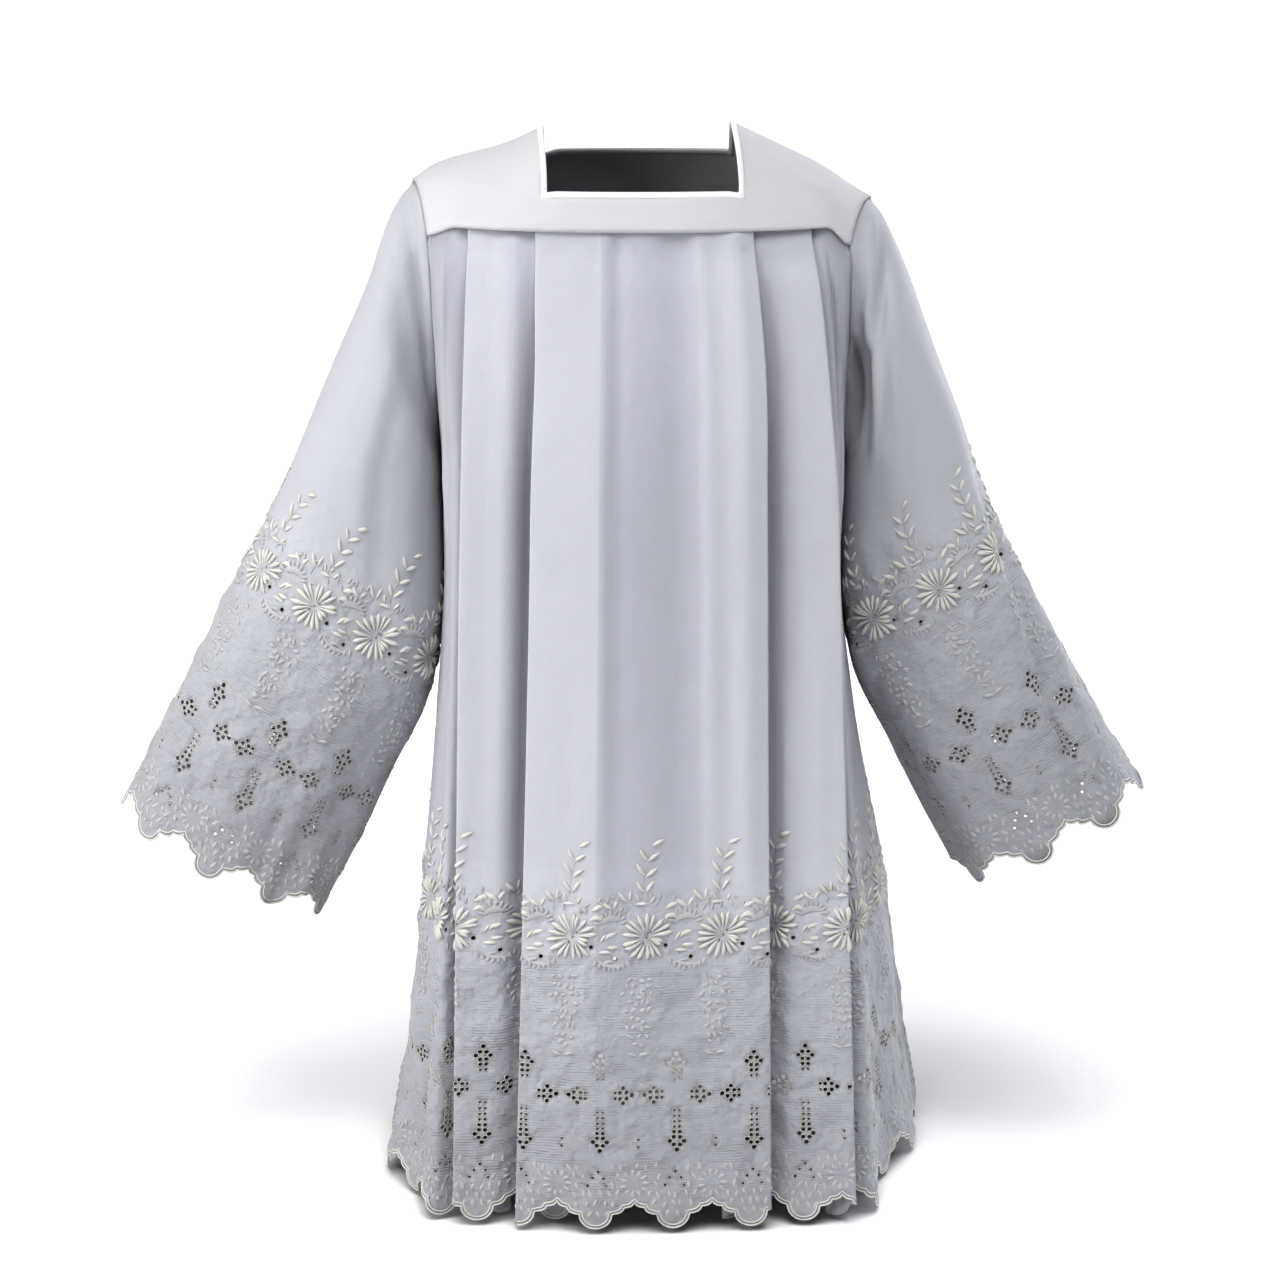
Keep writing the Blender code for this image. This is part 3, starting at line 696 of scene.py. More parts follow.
def sleeve_column(form, u, v):
    """Which line of the dense grid each place lies on. The first is the outermost, where u is 0."""
    return np.mod(-SIGN[form.side] * u / (form.girth * sleeve_narrowing(form, v)), 1.0) * RING_SAMPLES


def sleeve_narrowing(form, v):
    """How wide the sleeve's cut is at each height, as a share of its width at the cuff."""
    return np.interp(v, *form.narrowing)


def sleeve_length(form, column):
    return np.interp(column, np.arange(RING_SAMPLES + 1), form.lengths)


def sleeve_place(form, u, v):
    """Points of a sleeve. u is 0 on its outermost line, and its ends meet at the seam under the arm."""
    column = sleeve_column(form, u, v)
    left = np.minimum(column.astype(int), RING_SAMPLES - 1)
    line = v / sleeve_length(form, column) * LINE_SAMPLES
    low = np.clip(line.astype(int), 0, LINE_SAMPLES - 1)
    across, along = (column - left)[:, None], (line - low)[:, None]
    lower = mix(form.grid[low, left], form.grid[low, left + 1], across)
    upper = mix(form.grid[low + 1, left], form.grid[low + 1, left + 1], across)
    point = mix(lower, upper, along)
    point[:, 0] *= SIGN[form.side]
    return point


# ---- Cloths: a cut, its place in space and its creases ----

Crease = namedtuple("Crease", "u v end_u end_v width height")
Border = namedtuple("Border", "repeat phase lift curl")  # phase: u of a cross; curl: how the pattern leans
CUT_EDGE = 0.0002  # how far short of its seam a cloth ends
Cloth = namedtuple("Cloth", "name place top narrowing columns folds border creases seed")


def crease_height(crease, u, v):
    """A soft ridge, or a trough where the height is negative, that fades towards its two ends."""
    run_u, run_v = crease.end_u - crease.u, crease.end_v - crease.v
    length = math.hypot(run_u, run_v)
    along = ((u - crease.u) * run_u + (v - crease.v) * run_v) / length
    aside = ((u - crease.u) * run_v - (v - crease.v) * run_u) / length
    run_out = CREASE_FADE * length
    fade = smooth_step(along / run_out) * smooth_step((length - along) / run_out)
    return crease.height * fade * np.exp(-((aside / crease.width) ** 2))


def puckers(cloth, u, v):
    """Small uneven waves, stronger in the embroidered border, from a seeded sum of sines."""
    random = np.random.default_rng(cloth.seed)
    total = np.zeros_like(u)
    for length in PUCKER_LENGTHS:
        for _ in range(PUCKERS_PER_LENGTH):
            turn, phase = random.uniform(0, math.pi), random.uniform(0, 2 * math.pi)
            wave = (u * math.cos(turn) + v * math.sin(turn)) * 2 * math.pi / length
            total += length * np.sin(wave + phase)
    in_border = smooth_step((PUCKERED_BORDER_TOP - v) / PUCKER_FADE)
    return PUCKER * mix(*PUCKER_SHARES, in_border) * total


def fold_depth(cloth, u):
    """How far places are inside the nearest fold, where layers lie close together; negative outside."""
    depth = np.full(np.shape(u), -1.0)
    for start, end in cloth.folds:
        depth = np.maximum(depth, (end - start) / 2 - np.abs(u - (start + end) / 2))
    return depth


def to_side(cloth, u, v):
    """How far places are from the nearer side of the cloth."""
    narrowing = cloth.narrowing(v)
    return np.minimum(u - cloth.columns[0] * narrowing, cloth.columns[-1] * narrowing - u)


def relief(cloth, u, v):
    """How far the cloth's puckers and creases lift it, flat in its folds and at its top and sides."""
    height = puckers(cloth, u, v)
    for crease in cloth.creases:
        height = height + crease_height(crease, u, v)
    open_face = smooth_step(-fold_depth(cloth, u) / FLAT_BESIDE_FOLD)
    below_top = smooth_step((cloth.top(u, v) - v) / FLAT_AT_TOP)
    return height * open_face * below_top * smooth_step(to_side(cloth, u, v) / FLAT_AT_SIDE)


def surface(cloth, u, v):
    """Points of a cloth with its creases, and the directions straight out of its face."""
    places = ((u, v), (u + PROBE, v), (u, v + PROBE))
    point, beside, above = (cloth.place(*place) for place in places)
    normal = normalized(np.cross(beside - point, above - point))
    lift = [relief(cloth, *place)[:, None] * normal for place in places]
    point, beside, above = point + lift[0], beside + lift[1], above + lift[2]
    return point, normalized(np.cross(beside - point, above - point))


def half_columns(cut):
    """Columns of one half of a panel's mesh, out from its middle, and where each fold starts and ends."""
    columns = []
    for index, (run, end) in enumerate(zip(cut.runs, cut.ends)):
        columns += spaced(end - run, end, run / ARC_STEPS if index in ARC_STRETCHES else COLUMN_SPACING)
    return columns + [cut.ends[-1] - CUT_EDGE], [(cut.ends[0], cut.ends[4]), (cut.ends[5], cut.ends[9])]


def panel_cloth(name, panel, *look):
    """The front or the back. The look is its border, creases and seed."""
    cuts = {side: half_cut(panel, side) for side in SIGN}
    minus, plus = ("right", "left") if panel.half.sign < 0 else ("left", "right")
    columns, folds = half_columns(cuts[plus])
    minus_columns, minus_folds = half_columns(cuts[minus])
    columns = np.array([-column for column in minus_columns[:0:-1]] + columns)
    folds = [(-end, -start) for start, end in minus_folds] + folds
    place = partial(panel_place, panel, cuts)
    top = panel.rows[0].z - HEM_LEVEL
    return Cloth(name, place, lambda u, v: np.full_like(u, top), np.ones_like, columns, folds, *look)


def sleeve_cloth(name, side, rows, *look):
    form = sleeve_form(side, rows)
    half = form.girth / 2 - CUT_EDGE
    columns = np.array(spaced(-half, half, COLUMN_SPACING) + [half])

    def top(u, v):
        return sleeve_length(form, sleeve_column(form, u, v))

    return Cloth(name, partial(sleeve_place, form), top, partial(sleeve_narrowing, form), columns, [], *look)


# ---- Eyelets, hem and the flat mesh ----


def repeats(cloth):
    """u of each cross on a cloth, and of those whose motifs reach it from past its edges."""
    border = cloth.border
    first = math.ceil((cloth.columns[0] - REPEAT - border.phase) / border.repeat)
    last = math.floor((cloth.columns[-1] + REPEAT - border.phase) / border.repeat)
    return [border.phase + index * border.repeat for index in range(first, last + 1)]


def leaning(cloth, u, v):
    """u of a motif's places where the pattern leans away from straight up the sleeve."""
    return u + cloth.border.curl * np.maximum(v - CURL_START, 0.0) ** 2


def cross_eyelets():
    """The eyelets of one repeat, from its cross's centre."""
    found = list(SINGLE_EYELETS)
    arms = ((CROSS_HEAD, 0, 1), (CROSS_FOOT, 0, -1), (CROSS_ARM, 1, 0), (CROSS_ARM, -1, 0))
    for rows, to_u, to_v in arms:
        for row in rows:
            for spread in {row.spread, -row.spread}:
                u, v = to_u * row.reach + to_v * spread, to_v * row.reach + to_u * spread
                found.append(Eyelet(u, v, row.radius))
    for hole in FLOWER_EYELETS:
        found.append(Eyelet(hole.u - FLOWER_TO_CROSS, hole.v + FLOWER_RISE, hole.radius))
    return found


def eyelets(cloth):
    """Every eyelet of a cloth, as an array of u, v and radius, without those that its edges would cut."""
    one = np.array(sorted(cross_eyelets()))
    rise = CROSS_HEIGHT + cloth.border.lift
    found = np.concatenate([one + (cross, rise, 0.0) for cross in repeats(cloth)])
    found[:, 0] = leaning(cloth, found[:, 0], found[:, 1])
    return found[to_side(cloth, found[:, 0], found[:, 1]) > EYELET_MARGIN]


def scallop():
    """Points of one scallop's edge, from its lowest point at 0, 0."""
    half = [(0.0, 0.0)]
    for lobe, steps in zip(SCALLOP_LOBES, LOBE_STEPS):
        u, rise = half[-1]
        for turn in np.linspace(0.0, math.pi / 2, steps + 1)[1:]:
            half.append((u + lobe.width * math.sin(turn), rise + lobe.rise * (1 - math.cos(turn))))
    return np.array([(-u, rise) for u, rise in half[:0:-1]] + half[:-1])


def scallop_outline(cloth):
    """Points of the hem's edge from one side of the cloth to the other, level where they meet its sides."""
    one = scallop() * (cloth.border.repeat / REPEAT, 1.0)
    low = SCALLOP_LOW + cloth.border.lift
    outline = np.concatenate([one + (cross - LOW_TO_CROSS, low) for cross in repeats(cloth)])
    first, last = cloth.columns[[0, -1]]
    inside = (outline[:, 0] > first + 2 * CUT_EDGE) & (outline[:, 0] < last - 2 * CUT_EDGE)
    ends = [(u, np.interp(u, *outline.T)) for u in (first, last)]
    outline = np.concatenate([ends[:1], outline[inside], ends[1:]])
    from_side = np.minimum(outline[:, 0] - first, last - outline[:, 0])
    seam_level = max(height for _, height in ends)
    outline[:, 1] = mix(seam_level, outline[:, 1], smooth_step(from_side / LEVEL_AT_SEAM))
    return outline


def nearest_hole(points, holes):
    """How far each point is outside the nearest eyelet's edge."""
    gap = np.full(len(points), np.inf)
    for u, v, radius in holes:
        near = np.abs(points[:, 0] - u) < NEAR_HOLE
        away = np.hypot(points[near, 0] - u, points[near, 1] - v) - radius
        gap[near] = np.minimum(gap[near], away)
    return gap


def eyelet_ring():
    """Points round an eyelet, for a radius of 1."""
    turns = np.arange(EYELET_SIDES) * 2 * math.pi / EYELET_SIDES
    return np.stack([np.cos(turns), np.sin(turns)], axis=1)


def border_filling(cloth, holes, outline, rows):
    """Points on a grid over the border, clear of its edge and its eyelets."""
    columns, v = np.meshgrid(cloth.columns[1:-1], rows)
    filling = np.stack([(columns * cloth.narrowing(v)).ravel(), v.ravel()], axis=1)
    above_hem = filling[:, 1] > np.interp(filling[:, 0], *outline.T) + CLEAR_OF_HEM
    return filling[above_hem & (nearest_hole(filling, holes) > CLEAR_OF_EYELET)]


def border_outlines(cloth, holes, outline, rows):
    """Points of the border and the lines between them that its faces keep to."""
    columns = cloth.columns
    level = np.full(len(columns), BORDER_TOP)
    points, edges = [*np.stack([columns * cloth.narrowing(level), level], axis=1)], []

    def add_line(line, before=(), after=(), closed=False):
        first = len(points)
        points.extend(line)
        chain = [*before, *range(first, len(points)), *after] + [first] * closed
        edges.extend(zip(chain, chain[1:]))

    add_line(outline)
    hem_corners = len(columns), len(points) - 1
    points.extend(border_filling(cloth, holes, outline, rows))
    for corner, hem_corner in zip((0, len(columns) - 1), hem_corners):
        side = rows[rows > points[hem_corner][1] + BORDER_SPACING / 2]
        line = np.stack([columns[corner] * cloth.narrowing(side), side], axis=1)
        add_line(line, before=[corner], after=[hem_corner])
    for hole in holes:
        add_line(hole[:2] + hole[2] * eyelet_ring(), closed=True)
    for column, low in zip(columns, np.interp(columns, *outline.T)):
        if any(start - CLOSE <= column <= end + CLOSE for start, end in cloth.folds):
            add_line([(column, BORDER_TOP), (column, low)])
    return points, edges


def border_mesh(cloth):
    """Flat points and triangles of the border, from the hem's edge up to BORDER_TOP, with its eyelets."""
    holes, outline = eyelets(cloth), scallop_outline(cloth)
    rows = np.arange(BORDER_TOP - BORDER_SPACING, SCALLOP_LOW, -BORDER_SPACING)
    points, edges = border_outlines(cloth, holes, outline, rows)
    made, _, faces, *_ = delaunay_2d_cdt([Vector(point) for point in points], edges, [], 0, CLOSE, False)
    made, faces = np.array([tuple(point) for point in made]), np.array(faces)
    middles = made[faces].mean(axis=1)
    keep = middles[:, 1] > np.interp(middles[:, 0], *outline.T)
    keep &= nearest_hole(middles, holes) > -2 * TOLERANCE
    keep &= to_side(cloth, middles[:, 0], middles[:, 1]) > -TOLERANCE
    return made, faces[keep]


def plain_mesh(cloth):
    """Flat points and quads of the cloth above its border."""
    tops = cloth.top(cloth.columns, np.zeros(len(cloth.columns)))
    count = math.ceil((tops.max() - BORDER_TOP) / PLAIN_SPACING)
    v = mix(BORDER_TOP, tops[None, :], np.linspace(0.0, 1.0, count + 1)[:, None])
    points = np.stack([(cloth.columns * cloth.narrowing(v)).ravel(), v.ravel()], axis=1)
    return points, grid_faces(*v.shape)


def joined(first_points, first_faces, second_points, second_faces):
    """Two flat meshes as one, with the points that they share merged."""
    points = np.concatenate([first_points, second_points])
    _, kept, index = np.unique(np.round(points, 6), axis=0, return_index=True, return_inverse=True)
    index = index.reshape(-1)
    faces = index[first_faces].tolist() + index[second_faces + len(first_points)].tolist()
    return points[kept], [face for face in faces if len(set(face)) == len(face)]


def new_object(name, points, faces, uv=None):
    mesh = bpy.data.meshes.new(name)
    mesh.from_pydata([tuple(point) for point in points], [], [tuple(face) for face in faces])
    if uv is not None:
        layer = mesh.uv_layers.new(name="cloth")
        corners = np.empty(len(mesh.loops), dtype=np.int32)
        mesh.loops.foreach_get("vertex_index", corners)
        layer.data.foreach_set("uv", np.asarray(uv, dtype=np.float32)[corners].ravel())
    mesh.shade_smooth()
    return placed(name, mesh)


def placed(name, data):
    made = bpy.data.objects.new(name, data)
    bpy.context.scene.collection.objects.link(made)
    return made


def thicken(piece, thickness):
    wall = piece.modifiers.new("thickness", "SOLIDIFY")
    wall.thickness = thickness
    wall.offset = 0.0
    return piece


def cloth_object(cloth):
    """The cloth itself: a thin shell with its folds, creases, eyelet holes and scalloped hem."""
    flat, faces = joined(*border_mesh(cloth), *plain_mesh(cloth))
    points, _ = surface(cloth, flat[:, 0], flat[:, 1])
    return thicken(new_object(cloth.name, points, faces, flat), CLOTH_THICKNESS)


# ---- Embroidery ----

Stitch = namedtuple("Stitch", "u v bend_u bend_v end_u end_v width height fullness")
HEIGHT_COLUMN = Stitch._fields.index("height")
BOLD_HEIGHT = 0.0014
BOLD_SECTIONS, LOW_SECTIONS = 9, 5
STITCH_MARGIN = 0.003
FOLD_SIGHT = 0.004  # embroidery deeper than this in a fold is left out
STITCH_SEED = 100
ROUND_SECTION = ((-1.0, -0.12), (-0.66, 0.72), (0.0, 1.0), (0.66, 0.72), (1.0, -0.12))
RIM_SECTION = ((0.0, -0.10), (0.35, 1.0), (1.0, -0.12))  # out from the eyelet's edge, and up


def raised(cloth, u, v, lift):
    """Points this far above places on the cloth's face."""
    points, normals = surface(cloth, u.ravel(), v.ravel())
    return points + normals * (CLOTH_THICKNESS / 2 + np.broadcast_to(lift, u.shape).ravel()[:, None])


def stitch_shapes(cloth, stitches, sections):
    """Points and faces of padded satin stitches: long domes on the cloth, pointed at both ends."""
    columns = (column[:, None, None] for column in stitches.T)
    u, v, bend_u, bend_v, end_u, end_v, width, height, fullness = columns
    share = np.linspace(0.0, 1.0, sections)[:, None]
    middle_u = mix(mix(u, bend_u, share), mix(bend_u, end_u, share), share)
    middle_v = mix(mix(v, bend_v, share), mix(bend_v, end_v, share), share)
    along_u = mix(bend_u - u, end_u - bend_u, share)
    along_v = mix(bend_v - v, end_v - bend_v, share)
    run = np.maximum(np.hypot(along_u, along_v), 1e-9)
    swell = np.sin(math.pi * share**fullness) ** STITCH_ROUNDNESS
    swell[:, [0, -1]] = 0.0
    aside, up = np.array(ROUND_SECTION).T
    offset = aside * width / 2 * swell
    grid_u, grid_v = middle_u - along_v / run * offset, middle_v + along_u / run * offset
    faces = grid_faces(sections, len(aside), columns_joined=True)
    points = raised(cloth, grid_u, grid_v, up * height * swell)
    return points, copied(faces, len(stitches), sections * len(aside)).tolist()


def rim_shapes(cloth, holes):
    """Points and faces of the overcast stitches round the eyelets: low rings on the cloth."""
    out, up = np.array(RIM_SECTION).T
    reach = holes[:, 2][:, None, None] + out * EYELET_RIM
    u, v = (holes[:, axis][:, None, None] + reach * eyelet_ring()[:, axis][None, :, None] for axis in (0, 1))
    faces = grid_faces(EYELET_SIDES, len(out), rows_joined=True, columns_joined=True)[:, ::-1]
    points = raised(cloth, u, v, up * EYELET_RIM_HEIGHT)
    return points, copied(faces, len(holes), EYELET_SIDES * len(out)).tolist()


def edge_shapes(cloth, outline, ridge):
    """Points and faces of a satin ridge that follows the hem's edge."""
    heading = np.gradient(outline, axis=0)
    heading = heading / np.linalg.norm(heading, axis=1)[:, None]
    inward = np.stack([-heading[:, 1], heading[:, 0]], axis=1)
    aside, up = np.array(ROUND_SECTION).T
    flat = outline[:, None] + inward[:, None] * (ridge.inset + aside * ridge.width / 2)[:, None]
    u = np.clip(flat[..., 0], cloth.columns[0], cloth.columns[-1])
    points = raised(cloth, u, flat[..., 1], up * ridge.height)
    around = len(aside)
    faces = grid_faces(len(outline), around, columns_joined=True).tolist()
    ends = [range(around), range(len(points) - 1, len(points) - around - 1, -1)]
    return points, faces + ends


def half_axis(turn, along, across):
    """How far an oval with these half axes reaches in one direction."""
    return 1.0 / math.hypot(math.cos(turn) / along, math.sin(turn) / across)


def flower_stitches(random):
    """The petals of one flower, from its centre, round a short slanted slit."""
    made = []
    for index in range(PETALS):
        turn = 2 * math.pi * (index + 0.5) / PETALS + random.uniform(-PETAL_TURNS, PETAL_TURNS)
        slit = half_axis(turn - SLIT_TURN, *SLIT_HALF_AXES)
        reach = half_axis(turn, *FLOWER_HALF_AXES) * random.uniform(*PETAL_REACHES)
        if math.cos(turn - EYELET_TURN) > SHORT_PETAL_COSINE:
            reach = SHORT_PETAL_REACH
        lean = turn + random.uniform(-PETAL_LEAN, PETAL_LEAN)
        bend = turn + random.uniform(-PETAL_BEND, PETAL_BEND)
        places = (*polar(slit, turn), *polar((slit + reach) / 2, bend), *polar(reach, lean))
        width = PETAL_WIDTH * random.uniform(*PETAL_WIDTHS)
        made.append(Stitch(*places, width, PETAL_HEIGHT, PETAL_FULLNESS))
    return made


def leaf_stitch(leaf):
    run_u, run_v = polar(leaf.length, math.radians(leaf.turn))
    bow_u, bow_v = polar(LEAF_BOW * leaf.length, math.radians(leaf.turn))
    end_u, end_v = leaf.u + run_u, leaf.v + run_v
    bend_u, bend_v = (leaf.u + end_u) / 2 - bow_v, (leaf.v + end_v) / 2 + bow_u
    return Stitch(leaf.u, leaf.v, bend_u, bend_v, end_u, end_v, leaf.width, leaf.height, 1.0)


def oval(u, v, turn, length, width, height):
    run_u, run_v = polar(length / 2, turn)
    return Stitch(u - run_u, v - run_v, u, v, u + run_u, v + run_v, width, height, 1.0)


def cluster_stitches(random):
    """A hanging bunch of uneven ovals between two crosses, from the cross's centre."""
    made = []
    jitter = partial(random.uniform, -CLUSTER_JITTER, CLUSTER_JITTER)
    for row, count in enumerate(CLUSTER_COUNTS):
        v = CLUSTER_TOP - row * CLUSTER_ROW_HEIGHT
        for index in range(count):
            u = CLUSTER_TO_CROSS + (index - (count - 1) / 2) * CLUSTER_PITCH + jitter()
            turn = random.uniform(0, math.pi)
            length, width = random.uniform(*CLUSTER_LENGTHS), random.uniform(*CLUSTER_WIDTHS)
            made.append(oval(u, v + jitter(), turn, length, width, CLUSTER_HEIGHT))
    return made + [leaf_stitch(leaf) for leaf in CLUSTER_LEAVES]


def lace_stitches(random):
    """The dense low stitches above the hem: a ring at each cusp and uneven ovals between, from the cross."""
    made = []
    jitter = partial(random.uniform, -LACE_JITTER, LACE_JITTER)
    for index in range(RING_OVALS):
        turn = 2 * math.pi * index / RING_OVALS
        u, v = polar(RING_RADIUS, turn)
        made.append(oval(REPEAT / 2 - LOW_TO_CROSS + u, RING_V + v, turn, *RING_OVAL))
    for row in range(LACE_ROWS):
        for column in range(LACE_COLUMNS):
            u = (column + 0.5 * (row % 2)) * REPEAT / LACE_COLUMNS - REPEAT / 2 + jitter()
            v = LACE_TOP - row * LACE_ROW_HEIGHT + jitter()
            from_low = abs((u + LOW_TO_CROSS + REPEAT / 2) % REPEAT - REPEAT / 2)
            in_ring = math.hypot(from_low - REPEAT / 2, v - RING_V) < RING_CLEARANCE
            in_triangle = abs(u - TRIANGLE_U) < TRIANGLE_HALF_WIDTH and v > TRIANGLE_LOW
            if v > lace_edge(from_low) and not in_ring and not in_triangle:
                turn = math.radians(random.uniform(*LACE_TURNS))
                made.append(oval(u, v, turn, random.uniform(*LACE_LENGTHS), *LACE_WIDTH_HEIGHT))
    return made


def lace_edge(from_low):
    """The lowest level of the lace's stitches this far from the scallop's lowest point."""
    rise = np.interp(from_low, LACE_EDGE_OUT, LACE_EDGE_RISE)
    return SCALLOP_LOW - CROSS_HEIGHT + LACE_ABOVE_HEM + rise


def garland_stitches(random):
    """Low shell shapes in an arch on each flower's left and in a shallow bow under it, from its centre."""
    made = []
    for index in range(ARCH_OVALS):
        turn = math.pi * (index + 0.5) / ARCH_OVALS
        u, v = ARCH_U + ARCH_HALF_WIDTH * math.cos(turn), ARCH_V + ARCH_RISE * math.sin(turn)
        made.append(oval(u, v, turn + random.uniform(-0.2, 0.2), *ARCH_OVAL))
    for index in range(BOW_OVALS):
        u = BOW_U + BOW_PITCH * index
        v = BOW_V - BOW_SAG * math.sin(math.pi * index / (BOW_OVALS - 1))
        made.append(oval(u, v, random.uniform(*BOW_TURNS), *BOW_OVAL))
    for _ in range(LOOSE_OVALS):
        u, v = random.uniform(*LOOSE_U), random.uniform(*LOOSE_V)
        made.append(oval(u, v, random.uniform(*LOOSE_TURNS), *LOOSE_OVAL))
    return made


def repeat_stitches(random):
    """All padded stitches of one repeat, from its cross's centre, as a table."""
    flower = flower_stitches(random) + [leaf_stitch(leaf) for leaf in SPRAY]
    flower = np.array(flower + garland_stitches(random) + [Stitch(*swag, 1.0) for swag in SWAGS])
    flower[:, 0:6:2] -= FLOWER_TO_CROSS
    flower[:, 1:6:2] += FLOWER_RISE
    return np.concatenate([flower, cluster_stitches(random) + lace_stitches(random)])


def cloth_stitches(cloth):
    """Every padded stitch of a cloth that lies wholly on it and in sight, as a table."""
    random = np.random.default_rng(cloth.seed + STITCH_SEED)
    found = []
    for cross in repeats(cloth):
        one = repeat_stitches(random)
        one[:, 1:6:2] += CROSS_HEIGHT + cloth.border.lift
        one[:, 0:6:2] = leaning(cloth, one[:, 0:6:2] + cross, one[:, 1:6:2])
        found.append(one)
    found = np.concatenate(found)
    keep = fold_depth(cloth, (found[:, 0] + found[:, 4]) / 2) <= FOLD_SIGHT
    for place in (0, 2, 4):
        keep &= to_side(cloth, found[:, place], found[:, place + 1]) > STITCH_MARGIN
    return found[keep]


def embroidery_objects(cloth):
    """The raised embroidery of one cloth, and the low stitches, whose thread carries painted shade to be as
    dull as its ground.
    """
    stitches = cloth_stitches(cloth)
    bold = stitches[:, HEIGHT_COLUMN] >= BOLD_HEIGHT
    holes = eyelets(cloth)
    raised_parts = [stitch_shapes(cloth, stitches[bold], BOLD_SECTIONS)]
    raised_parts.append(rim_shapes(cloth, holes[fold_depth(cloth, holes[:, 0]) <= FOLD_SIGHT]))
    raised_parts += [edge_shapes(cloth, scallop_outline(cloth), ridge) for ridge in EDGE_RIDGES]
    low_parts = [stitch_shapes(cloth, stitches[~bold], LOW_SECTIONS)]
    return merged(cloth.name + "_embroidery", raised_parts), merged(cloth.name + "_low_stitches", low_parts)


def merged(name, parts):
    """One object of several parts' points and faces."""
    points, faces = [], []
    for part_points, part_faces in parts:
        faces += [[corner + len(points) for corner in face] for face in part_faces]
        points += part_points.tolist()
    return new_object(name, points, faces)


# ---- Yoke and binding ----

YOKE_LENGTH = 0.115  # from the ridge down to either edge
YOKE_ACROSS_SHOULDER = 22
YOKE_ACROSS_NECK = 30
YOKE_BAND_STEPS = 8
YOKE_SIDE_STEPS = 18
UNDER_BINDING = 0.0028  # how far the yoke's cloth ends outside the finished neck opening
STITCH_LINE = 0.014
STITCH_DIP, STITCH_DIP_WIDTH = 0.0005, 0.0016
EDGE_RISE, EDGE_RISE_RUN = 0.0005, 0.004
EDGE_FALL, EDGE_FALL_RUN = 0.0003, 0.0030
BINDING_STEP = 0.006
BINDING_SIDE_STEPS = 48
BINDING_LENGTH_PER_DOWN = 0.118
BindingPlace = namedtuple("BindingPlace", "inset lift")
BINDING_SECTION = table(
    BindingPlace, (0, 0), (0.4, 1.3), (2.2, 2.1), (4.2, 1.8), (5, 0.7), (5, -0.7), (3.6, -1.3), (0.8, -1.1)
)
YOKE_CREASES = table(
    Crease,
    (150, 60, 184, 95, 4.5, -2.2),
    (160, 50, 190, 80, 4, 1.6),
    (140, 72, 170, 104, 4.5, 1.4),
    (-150, 30, -190, 90, 7, -1),
    (-70, 83, 60, 79, 3.5, -0.6),
    (-120, 85, -30, 81, 4, 0.7),
    (20, 92, 110, 86, 4, 0.7),
    (110, 20, 180, 60, 8, -1),
)


def yoke_downs():
    front, back = YOKE_FRONT.neckline, YOKE_BACK.neckline
    downs = spaced(-1.0, -front, (1.0 - front) / YOKE_BAND_STEPS)
    downs += spaced(-front, 0.0, front / YOKE_SIDE_STEPS) + spaced(0.0, back, back / YOKE_SIDE_STEPS)
    return downs + spaced(back, 1.0, (1.0 - back) / (2 * YOKE_BAND_STEPS)) + [1.0]


def yoke_row(down):
    """x of the yoke's points on one line across it, whose middle stretch spans the neck."""
    neck = [neck_edge(side, down) + SIGN[side] * UNDER_BINDING for side in SIGN]
    stops = [yoke_end("right", down), *neck, yoke_end("left", down)]
    steps = YOKE_ACROSS_SHOULDER, YOKE_ACROSS_NECK, YOKE_ACROSS_SHOULDER
    row = []
    for start, end, count in zip(stops, stops[1:], steps):
        row += spaced(start, end, (end - start) / count)
    return row + stops[-1:]


def yoke_relief(x, down):
    """Creases of the yoke, the dip of its row of stitches and the turned edge that the panels hang from."""
    height = np.zeros_like(x)
    for crease in YOKE_CREASES:
        height = height + np.where(down < 0, crease_height(crease, x, np.abs(down) * YOKE_LENGTH), 0.0)
    from_edge = (1.0 - np.abs(down)) * YOKE_LENGTH
    height = height - STITCH_DIP * np.exp(-(((from_edge - STITCH_LINE) / STITCH_DIP_WIDTH) ** 2))
    height = height + EDGE_RISE * smooth_step((STITCH_LINE - from_edge) / EDGE_RISE_RUN)
    return height - EDGE_FALL * smooth_step((EDGE_FALL_RUN - from_edge) / EDGE_FALL_RUN) ** 2


def yoke_object():
    downs = np.array(yoke_downs())
    x = np.array([yoke_row(down) for down in downs])
    down = np.broadcast_to(downs[:, None], x.shape)
    points = yoke_point(x, down) + yoke_normals(x, down) * yoke_relief(x, down)[..., None]
    row, column = np.divmod(np.arange((len(downs) - 1) * (x.shape[1] - 1)), x.shape[1] - 1)
    front, back = -YOKE_FRONT.neckline - CLOSE, YOKE_BACK.neckline + CLOSE
    beside_neck = (downs[row] > front) & (downs[row + 1] < back)
    past_shoulder = column - YOKE_ACROSS_SHOULDER
    opening = beside_neck & (past_shoulder >= 0) & (past_shoulder < YOKE_ACROSS_NECK)
    uv = np.stack([x.ravel(), 1.0 + (down * YOKE_LENGTH).ravel()], axis=1)
    piece = new_object("yoke_cloth", points.reshape(-1, 3), grid_faces(*x.shape)[~opening], uv)
    return thicken(piece, YOKE_THICKNESS)


def neck_loop(inset):
    """x and down along the neck's edge, this far outside the finished opening."""
    past = inset / BINDING_LENGTH_PER_DOWN
    front, back = -YOKE_FRONT.neckline - past, YOKE_BACK.neckline + past
    downs = spaced(front, back, (back - front) / BINDING_SIDE_STEPS) + [back]
    right, left = ([(neck_edge(side, down) + SIGN[side] * inset, down) for down in downs] for side in SIGN)
    bottom = [(x, front) for x in spaced(right[0][0], left[0][0], BINDING_STEP)]
    top = [(x, back) for x in spaced(left[-1][0], right[-1][0], -BINDING_STEP)]
    return np.array(bottom + left[:-1] + top + right[:0:-1])


